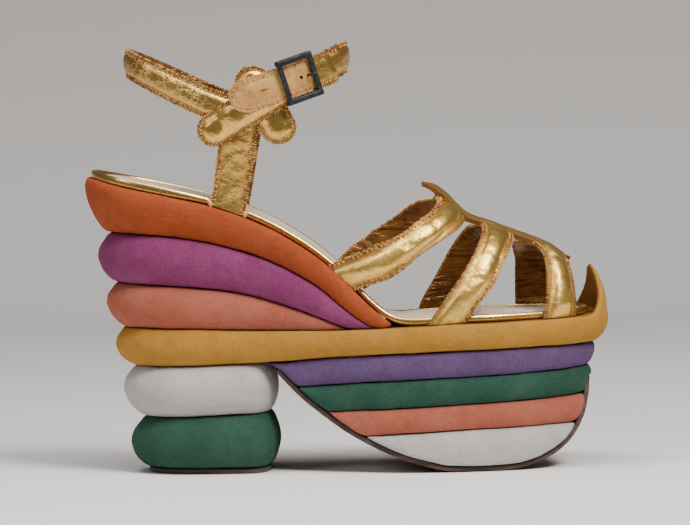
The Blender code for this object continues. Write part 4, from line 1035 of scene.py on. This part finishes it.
def stitch_rows(strip, lines, outward, seed):
    """Two short bars of thread a stitch: one over the edge, one at the foot of the padding.

    outward is a function from a world point to a direction that leaves the foot there.
    """
    points, faces, dyes = [], [], []
    rng = np.random.default_rng(seed)
    for line in lines:
        places = [place(strip.surface(u, v)) for u, v in line]
        middles = [place(strip.surface(u, 0.0)) for u, v in line]
        lengths = [0.0]
        for a, b in zip(places, places[1:]):
            lengths.append(lengths[-1] + (b - a).length)
        count = int(lengths[-1] / STITCH_PITCH)
        k = 0
        for n in range(count):
            at = (n + 0.5) * lengths[-1] / count
            while lengths[k + 1] < at:
                k += 1
            t = (at - lengths[k]) / max(lengths[k + 1] - lengths[k], 1e-9)
            here = places[k].lerp(places[k + 1], t)
            middle = middles[k].lerp(middles[k + 1], t)
            along = (places[min(k + 2, len(places) - 1)] - places[max(k - 1, 0)]).normalized()
            up = outward(here)
            up = (up - along * up.dot(along)).normalized()
            across = up.cross(along).normalized()
            if across.dot(here - middle) < 0:
                across = -across
            lean = STITCH_PITCH * (0.5 if n % 2 else 0.1) * (0.8 + 0.4 * rng.random())
            slant = along * lean
            reach = STITCH_REACH * (0.9 + 0.2 * rng.random())
            top = strip.edge + THREAD_LIFT
            dip = up * (top - THREAD_DIP)
            over_edge = [here - across * 0.0006 - up * 0.00012,
                         here + across * 0.00016 + up * strip.edge * 0.5,
                         here - across * 0.00025 + up * top,
                         here - across * 0.00080 + slant * 0.4 + dip]
            inside = [here - across * (reach - 0.00085) + slant * 0.6 + dip,
                      here - across * (reach - 0.00042) + slant * 0.8 + up * (top + 0.00004),
                      here - across * reach + slant + dip]
            for path in (over_edge, inside):
                dyes += [rng.random()] * (THREAD_SIDES * len(path))
                add_bar(points, faces, path, along, up)
    return points, faces, dyes


def stitches(name, strip, lines, outward, seed):
    """All the whip stitches of one strip as one piece."""
    points, faces, dyes = stitch_rows(strip, lines, outward, seed)
    mesh = bpy.data.meshes.new(name)
    mesh.from_pydata(points, [], faces)
    piece = bpy.data.objects.new(name, mesh)
    bpy.context.scene.collection.objects.link(piece)
    mark(piece, "dye", dyes)
    edit(piece)
    bpy.ops.mesh.normals_make_consistent(inside=False)
    leave_edit()
    finish_piece(piece, None, "gold_kid", THREAD)


FOOT_CENTRE = Vector((0.120, 0.003, 0.080))
FOOT_AXIS_SIDE = 0.003
FOOT_AXIS_HEIGHT = 0.078
FOOT_LEAN = 0.012


def way_over(turn):
    """Way over the foot at a turn: -1 at the outer edge, 0 under the spine, 1 at the inner edge."""
    rise = max(sin(radians(90 - abs(turn))), 0.0) ** LAST_POWER
    return (1 - rise) * (1 if turn > 0 else -1)


def arch_surface(climb):
    """Surface of a pair of vamp straps: u along the arch from the outer foot, v back to front."""
    def surface(u, v):
        turn = -90 + 180 * u
        back = LENGTH * read(climb, way_over(turn), "back")
        front = LENGTH * read(climb, way_over(turn), "front")
        return last_point((back + front) / 2 + v * (front - back) / 2, turn)
    return surface


def arch_inset(climb):
    def inset(u, v):
        way = way_over(-90 + 180 * u)
        half = LENGTH * (read(climb, way, "front") - read(climb, way, "back")) / 2
        half = max(half * 0.92, BORDER * 1.5)
        return half * (1 - abs(v)), half
    return inset


def from_foot(point):
    """Direction that leaves the foot at a point of the vamp."""
    inside = Vector((point.x - FOOT_LEAN, FOOT_AXIS_SIDE, FOOT_AXIS_HEIGHT))
    return (point - inside).normalized()


def under_spine(u):
    """The padding fades where a strap passes under the spine, and at its two feet."""
    top = min(max((abs(u - 0.5) - 0.030) / 0.050, 0.0), 1.0)
    foot = min(min(u, 1 - u) / 0.05, 1.0)
    return (top * top * (3 - 2 * top)) * (0.35 + 0.65 * foot)


VAMP = [
    ("first", FIRST_STRAP, [Fold(0.16, 0.020, 0.012, 0.10), Fold(0.245, -0.03, 0.010, 0.13),
                            Fold(0.33, 0.035, 0.014, 0.12), Fold(0.405, 0.03, 0.012, 0.16),
                            Fold(0.62, -0.02, 0.012, 0.14), Fold(0.74, 0.03, 0.012, 0.15),
                            Fold(0.86, -0.02, 0.012, 0.12)]),
    ("middle", MIDDLE_STRAP, [Fold(0.12, 0.02, 0.010, 0.10), Fold(0.225, -0.035, 0.012, 0.16),
                              Fold(0.30, 0.03, 0.010, 0.13), Fold(0.375, -0.03, 0.012, 0.15),
                              Fold(0.66, 0.03, 0.012, 0.14), Fold(0.80, -0.02, 0.012, 0.12)]),
    ("front", FRONT_STRAP, [Fold(0.17, 0.03, 0.012, 0.12), Fold(0.29, -0.04, 0.012, 0.14),
                            Fold(0.39, 0.03, 0.012, 0.16), Fold(0.68, 0.03, 0.012, 0.14),
                            Fold(0.83, -0.02, 0.012, 0.12)]),
]
for turn_, (name_, climb_, folds_) in enumerate(VAMP):
    strip_ = Strip(name_ + "_vamp_strap", arch_surface(climb_), arch_inset(climb_), long=132,
                   wide=18, edge=STRAP_EDGE, crown=0.0022, folds=folds_)
    piece_ = leather_strip(strip_, 100 + 10 * turn_, FOOT_CENTRE, GOLD, "vamp_straps", "gold_kid",
                           under_spine)
    stitches(name_ + "_vamp_stitches", strip_, strip_edges(110), from_foot, 11 + turn_)


def spine_surface(u, v):
    """Strip along the top of the foot, from its curled back tip to its pointed front."""
    first, last = SPINE[0].run, SPINE[-1].run
    share = first + (last - first) * u
    run = share * LENGTH
    top = last_point(run, 0)
    step = 0.002
    slope = last_point(run + step, 0) - last_point(run - step, 0)
    out = Vector((-slope.z, 0.0, slope.x)).normalized()
    lift = STRAP_EDGE * 1.02 + read(SPINE, share, "lift")
    half = SPINE_WIDTH / 2 * read(SPINE, share, "width")
    return top + out * (lift - 0.35 * half * v * v) + Vector((0.0, half * v, 0.0))


def spine_inset(u, v):
    first, last = SPINE[0].run, SPINE[-1].run
    half = SPINE_WIDTH / 2 * read(SPINE, first + (last - first) * u, "width")
    return half * (1 - abs(v)), SPINE_WIDTH / 2


def upwards(_):
    """Direction that leaves the foot all along the spine."""
    return Vector((0.42, 0.0, 0.9)).normalized()


spine_strip = Strip("vamp_spine", spine_surface, spine_inset, long=90, wide=12, edge=0.0019,
                    crown=0.0003, folds=[])
leather_strip(spine_strip, 140, FOOT_CENTRE, GOLD, "vamp_straps", "gold_kid")
stitches("vamp_spine_stitches", spine_strip, strip_edges(90), upwards, 17)


def ankle_path(u):
    angle = 2 * pi * u
    run = ankle_centre() - ANKLE_LENGTH / 2 * abs(cos(angle)) ** LAST_POWER * (
        1 if cos(angle) > 0 else -1)
    side = ANKLE_WIDTH / 2 * abs(sin(angle)) ** LAST_POWER * (1 if sin(angle) > 0 else -1)
    return Vector((run, side, ankle_height(run)))


def ankle_surface(u, v):
    """Closed strap round the ankle: u from the back along the inner side, v bottom to top."""
    step = 0.012
    point = ankle_path(u)
    along = (ankle_path(u + step) - ankle_path(u - step)).normalized()
    out = Vector((along.y, -along.x, 0.0)).normalized()
    if out.dot(point - Vector((ankle_centre(), 0, point.z))) < 0:
        out = -out
    across = out.cross(along).normalized()
    if across.z < 0:
        across = -across
    front_share = (point.x - ankle_centre()) / ANKLE_LENGTH + 0.5
    return point + across * (ANKLE_STRAP_WIDTH / 2 * (0.94 + 0.16 * front_share) * v)


def ankle_inset(u, v):
    half = ANKLE_STRAP_WIDTH / 2
    return half * (1 - abs(v)), half


ANKLE_CENTRE = place((0.0700, 0.0, 0.170))
ANKLE_OVAL = (0.049, 0.031)


def from_ankle(point):
    """Direction that leaves the ankle's wall at a point, level."""
    away = point - ANKLE_CENTRE
    return Vector((away.x / ANKLE_OVAL[0] ** 2, away.y / ANKLE_OVAL[1] ** 2, 0.0)).normalized()


ankle_folds = [Fold(0.04, 0.012, 0.006, 0.16), Fold(0.11, -0.012, 0.006, 0.15),
               Fold(0.40, 0.012, 0.006, 0.15), Fold(0.47, -0.010, 0.006, 0.18),
               Fold(0.53, 0.010, 0.006, 0.18), Fold(0.82, -0.012, 0.006, 0.18),
               Fold(0.87, 0.014, 0.006, 0.20), Fold(0.91, -0.012, 0.005, 0.20),
               Fold(0.955, 0.012, 0.005, 0.18)]
ankle_strip = Strip("ankle_band", ankle_surface, ankle_inset, long=220, wide=16, edge=0.0014,
                    crown=0.0012, folds=ankle_folds)
ankle_piece = leather_strip(ankle_strip, 150, ANKLE_CENTRE, WORN_SHADED_GOLD, "ankle_strap", "gold_kid")
mark(ankle_piece, "cracked", ease((0.006 - points_of(ankle_piece)[0][:, 0]) / 0.014))
stitches("ankle_band_stitches", ankle_strip, strip_edges(220), from_ankle, 21)


def post_surface(inner_side):
    """Side post from the seat's edge up to the ankle strap: u upwards, v back to front."""
    low = ANKLE_LOW_RUN * LENGTH
    side = 1 if inner_side else -1
    top = ankle_height(low) - seat(low)

    def surface(u, v):
        middle = low + POST_LEAD - POST_SLANT * (1 - u) - (POST_STAGGER if inner_side else 0.0)
        to_wall = 3 * u ** 2 - 2 * u ** 3
        run = middle + POST_WIDTH / 2 * (0.94 + 0.10 * u) * v
        width = seat_edge(run, inner_side, STRAP_SEAT) * (1 - to_wall) + ankle_wall(run) * to_wall
        height = rest(run) * (1 - to_wall) + seat(low) * to_wall + top * u
        return Vector((run, side * width, height))
    return surface


def post_inset(u, v):
    half = POST_WIDTH / 2 * (0.94 + 0.10 * u)
    return half * (1 - abs(v)), half


post_folds = [Fold(0.62, 0.05, 0.035, 0.5), Fold(0.76, -0.07, 0.03, 0.6), Fold(0.45, 0.10, 0.05, 0.3)]
for inner_ in (False, True):
    name_ = "inner_post" if inner_ else "outer_post"
    strip_ = Strip(name_, post_surface(inner_), post_inset, long=40, wide=14, edge=0.0015,
                   crown=0.0006, folds=post_folds)
    leather_strip(strip_, 160 + inner_, ANKLE_CENTRE, WORN_SHADED_GOLD, "ankle_strap", "gold_kid")
    stitches(name_ + "_stitches", strip_, strip_edges(40), from_ankle, 31 + inner_)


def band_surface(start, finish, width, lifts, ends):
    """Band over the outer ankle wall: u along it with its ends drawn out, v across it."""
    along = (finish - start).normalized()
    length = (finish - start).length
    radius = width / 2
    across = Vector((-along.y, along.x)) * radius

    def share_of(u):
        """Places closer together towards a round end."""
        if ends[0] and ends[1]:
            return 0.5 - 0.5 * cos(pi * u)
        return 1.0 - cos(pi / 2 * u)

    def narrowed(distance):
        """Share of the width left at a distance along the band."""
        at_start = round_end(distance, radius, 2.0) if ends[0] else 1.0
        at_finish = round_end(length - distance, radius, 2.0) if ends[1] else 1.0
        return min(at_start, at_finish)

    def surface(u, v):
        share = share_of(u)
        spot = start + (finish - start) * share + across * narrowed(share * length) * v
        return wall_point(spot.x, spot.y, read(lifts, share))

    def inset(u, v):
        distance = share_of(u) * length
        off = abs(v) * radius * narrowed(distance)
        if ends[0] and distance < radius:
            return radius - hypot(radius - distance, off), radius
        if ends[1] and length - distance < radius:
            return radius - hypot(radius - length + distance, off), radius
        return radius - off, radius
    return surface, inset


HIGH_LIFT = BAND_THICKNESS + 2 * GAP
KNOT_CROWN = 0.0018
KnotBand = namedtuple("KnotBand", "name node start finish lifts ends seed")
KNOT_BANDS = [
    KnotBand("cross_knot_band", "cross_band", CROSS_START, CROSS_FINISH,
             [Row(0.0, GAP), Row(1.0, GAP)], (True, True), 170),
    KnotBand("chape_knot_band", "chape_band", CHAPE_START, CHAPE_FINISH,
             [Row(0.0, GAP), Row(0.24, GAP), Row(0.42, HIGH_LIFT), Row(0.87, HIGH_LIFT), Row(1.0, GAP)],
             (True, False), 180),
]
for band_ in KNOT_BANDS:
    surface_, inset_ = band_surface(knot_point(band_.start), knot_point(band_.finish), BAND_WIDTH,
                                    band_.lifts, band_.ends)
    strip_ = Strip(band_.name, surface_, inset_, long=70, wide=16, edge=0.0010, crown=KNOT_CROWN,
                   folds=[])
    piece_ = leather_strip(strip_, band_.seed, ANKLE_CENTRE, SHADED_KNOT_GOLD, band_.node, "gold_kid")
    stitches(band_.name + "_stitches", strip_, round_edge(90, *band_.ends), from_ankle, band_.seed)


# Places along the strap, counted from the middle of the buckle
TAN_HOLE = 0.0012
TAN_SLIT = -0.0139
GOLD_BEFORE_BAR = 0.0012
PUNCH_RADIUS = 0.0008
PUNCH_DEPTH = 0.009


def tan_end():
    """Worn tan end of the strap, through the buckle, over the knot."""
    run = knot_point(BUCKLE_PLACE).x
    total = TAN_REACH + TAN_TAIL
    half = BUCKLE_LENGTH / 2
    high = BUCKLE_LIFT + BUCKLE_TILT

    def share(distance):
        return (TAN_REACH + distance) / total

    lifts = [Row(0.0, high), Row(share(-half), high), Row(share(0.0), BUCKLE_LIFT),
             Row(share(half), BUCKLE_LIFT - BUCKLE_TILT), Row(1.0, GAP)]
    start = Vector((run - TAN_REACH, strap_line(run - TAN_REACH)))
    finish = Vector((run + TAN_TAIL, strap_line(run + TAN_TAIL)))
    surface, inset = band_surface(start, finish, TAN_WIDTH, lifts, (True, False))
    strip = Strip("tan_strap_end", surface, inset, long=96, wide=16, edge=0.0011, crown=0.0010,
                  folds=[])
    bar = share(half)

    def crown_at(u):
        past_bar = min(max((1.0 - cos(pi / 2 * u) - bar) / 0.08, 0.0), 1.0)
        return 0.25 + 0.75 * past_bar

    piece = leather_strip(strip, 190, ANKLE_CENTRE, TAN, "buckle_strap", "tan_leather", crown_at)
    punch(piece, run + TAN_HOLE, 0.0)
    punch(piece, run + TAN_SLIT, 1.0)
    piece.data.materials.append(WORN_SHADED_GOLD)
    limit = place(wall_point(run + half, 0.0, 0.0)).x - GOLD_BEFORE_BAR
    for face in piece.data.polygons:
        if face.material_index == 0 and face.center.x > limit:
            face.material_index = 2
    stitches("tan_strap_stitches", strip, round_edge(110, True, False), from_ankle, 41)


def punch(piece, run, slit):
    """Round hole, or a slit along the strap, through the tan end."""
    height = strap_line(run)
    spot = place(wall_point(run, height, 0.0040))
    out = (place(wall_point(run, height, 0.0060)) - spot).normalized()
    bpy.ops.object.select_all(action="DESELECT")
    bpy.ops.mesh.primitive_cylinder_add(vertices=20, radius=PUNCH_RADIUS, depth=PUNCH_DEPTH)
    cutter = bpy.context.object
    along = Vector((1.0, 0.0, STRAP_SLOPE)).normalized()
    across = out.cross(along).normalized()
    along = across.cross(out).normalized()
    shape = Matrix((along * (1 + 1.6 * slit), across * (1 - 0.62 * slit), out)).transposed()
    cutter.data.transform(Matrix.Translation(spot) @ shape.to_4x4())
    apply_modifier(piece, "BOOLEAN", object=cutter, operation="DIFFERENCE", solver="EXACT")
    bpy.data.objects.remove(cutter)


tan_end()


# Foot knots and buckle

def post_knots():
    """Drawn-up thread at the two foot corners of the outer post."""
    corners = []
    for v in (-1.0, 1.0):
        bpy.ops.object.select_all(action="DESELECT")
        bpy.ops.mesh.primitive_ico_sphere_add(subdivisions=3, radius=1.0)
        knot = bpy.context.object
        spot = place(post_surface(False)(0.015, v)) + Vector((0.0004 * v, -0.0010, 0.0004))
        size = Vector((0.0011, 0.0011, 0.0021))
        turn = Matrix.Rotation(radians(18 * v), 3, "Y")
        for corner in knot.data.vertices:
            wave = 1.0 + 0.22 * noise.noise(corner.co * 2.2 + Vector((v, 0.0, 3.0)))
            shaped = Vector([a * b for a, b in zip(corner.co * wave, size)])
            corner.co = spot + turn @ shaped
        corners.append(knot)
    for knot in corners:
        knot.select_set(True)
    bpy.context.view_layer.objects.active = corners[0]
    bpy.ops.object.join()
    knots = bpy.context.object
    knots.name = "post_foot_knots"
    mark(knots, "dye", [0.43] * len(knots.data.vertices))
    finish_piece(knots, None, "gold_kid", THREAD)


post_knots()


def buckle():
    """Frame and prong, worn a little uneven."""
    piece = copy_of("buckle_frame", "buckle_frame_worn")
    even_mesh(piece, 0.00028, 4)
    places, normals = points_of(piece)
    out = uneven(places, [Wave(0.00007, 0.0016)], 81)
    move_points(piece, places + normals * out[:, None])
    finish_piece(piece, "buckle_frame", "dark_metal", METAL)
    prong = copy_of("buckle_prong", "buckle_prong_worn")
    apply_modifier(prong, "SUBSURF", levels=2, render_levels=2)
    finish_piece(prong, "buckle_prong", "dark_metal", METAL)


buckle()


# Floor, light and camera

def paper(name):
    """Studio paper with painted light: brightest at the front edge, with painted shade towards the back
    and up the backdrop.
    """
    paint = Paint(name, Roughness=0.92, Specular_IOR_Level=0.12)
    parts = paint.node("ShaderNodeSeparateXYZ", {"Vector": paint.place})
    # Painted light and shade: the colour falls off from the bright front edge to the back and up the
    # backdrop.
    back = paint.step(parts.outputs["Y"], -0.16, 0.24)
    height = paint.step(parts.outputs["Z"], -0.10, 0.34)
    colour = paint.mix(back, (0.98, 0.945, 0.925), (0.80, 0.770, 0.745))
    colour = paint.mix(height, colour, (0.52, 0.490, 0.470))
    paint.to_shader("Base Color", colour)
    return paint.material


def stage():
    """Pale sweep: a level floor that bends up into the backdrop."""
    bpy.ops.object.select_all(action="DESELECT")
    bpy.ops.mesh.primitive_plane_add(size=1.0)
    floor = bpy.context.object
    floor.name = "studio_floor"
    points, faces = [], []
    profile = [(-0.45, 0.0), (1.1, 0.0)]
    profile += [(1.1 + 0.5 * sin(radians(a)), 0.5 - 0.5 * cos(radians(a))) for a in range(6, 67, 6)]
    for y, z in profile:
        points += [(-3.0, y, z), (3.0, y, z)]
    for i in range(len(profile) - 1):
        faces.append((2 * i, 2 * i + 1, 2 * i + 3, 2 * i + 2))
    mesh = bpy.data.meshes.new("studio_floor")
    mesh.from_pydata(points, [], faces)
    floor.data = mesh
    mesh.shade_smooth()
    mesh.materials.append(paper("studio_paper_painted_light"))


def area_light(name, place_at, aim, size, power, colour=(1.0, 1.0, 1.0)):
    """Rectangular lamp at a place, turned to the point it aims at."""
    light = bpy.data.lights.new(name, "AREA")
    light.shape = "RECTANGLE"
    light.size, light.size_y = size
    light.energy = power
    light.color = colour
    lamp = bpy.data.objects.new(name, light)
    lamp.location = place_at
    lamp.rotation_euler = (Vector(aim) - Vector(place_at)).to_track_quat("-Z", "Y").to_euler()
    bpy.context.scene.collection.objects.link(lamp)


SHOE_MIDDLE = (0.06, 0.0, 0.08)
CAMERA_PLACE = Vector((0.0627, -1.900, 0.1794))
CAMERA_AIM = Vector((0.0627, 0.0, 0.0944))
CAMERA_ROLL = 1.0
CAMERA_LENS = 215.4


def camera():
    """The view of the photo, rolled as the photo is."""
    data = bpy.data.cameras.new("camera")
    data.lens = CAMERA_LENS
    data.sensor_width = 36.0
    data.clip_end = 20.0
    view = bpy.data.objects.new("camera", data)
    turn = (CAMERA_AIM - CAMERA_PLACE).to_track_quat("-Z", "Y").to_matrix().to_4x4()
    roll = Matrix.Rotation(radians(-CAMERA_ROLL), 4, "Z")
    view.matrix_world = Matrix.Translation(CAMERA_PLACE) @ turn @ roll
    bpy.context.scene.collection.objects.link(view)
    bpy.context.scene.camera = view


def world():
    """Faint even light from all round."""
    sky = bpy.data.worlds.new("studio")
    sky.use_nodes = True
    inputs = sky.node_tree.nodes["Background"].inputs
    inputs["Color"].default_value = (0.86, 0.87, 0.90, 1.0)
    inputs["Strength"].default_value = 0.10
    bpy.context.scene.world = sky


stage()
area_light("key", (0.95, -1.15, 1.75), SHOE_MIDDLE, (0.7, 0.7), 50.0, (1.0, 0.985, 0.96))
area_light("fill", (-1.3, -1.1, 1.2), SHOE_MIDDLE, (0.7, 0.7), 6.0, (0.97, 0.98, 1.0))
area_light("top", (-0.1, -0.35, 1.6), (0.06, 0.0, 0.0), (1.4, 0.8), 20.0)
camera()
world()
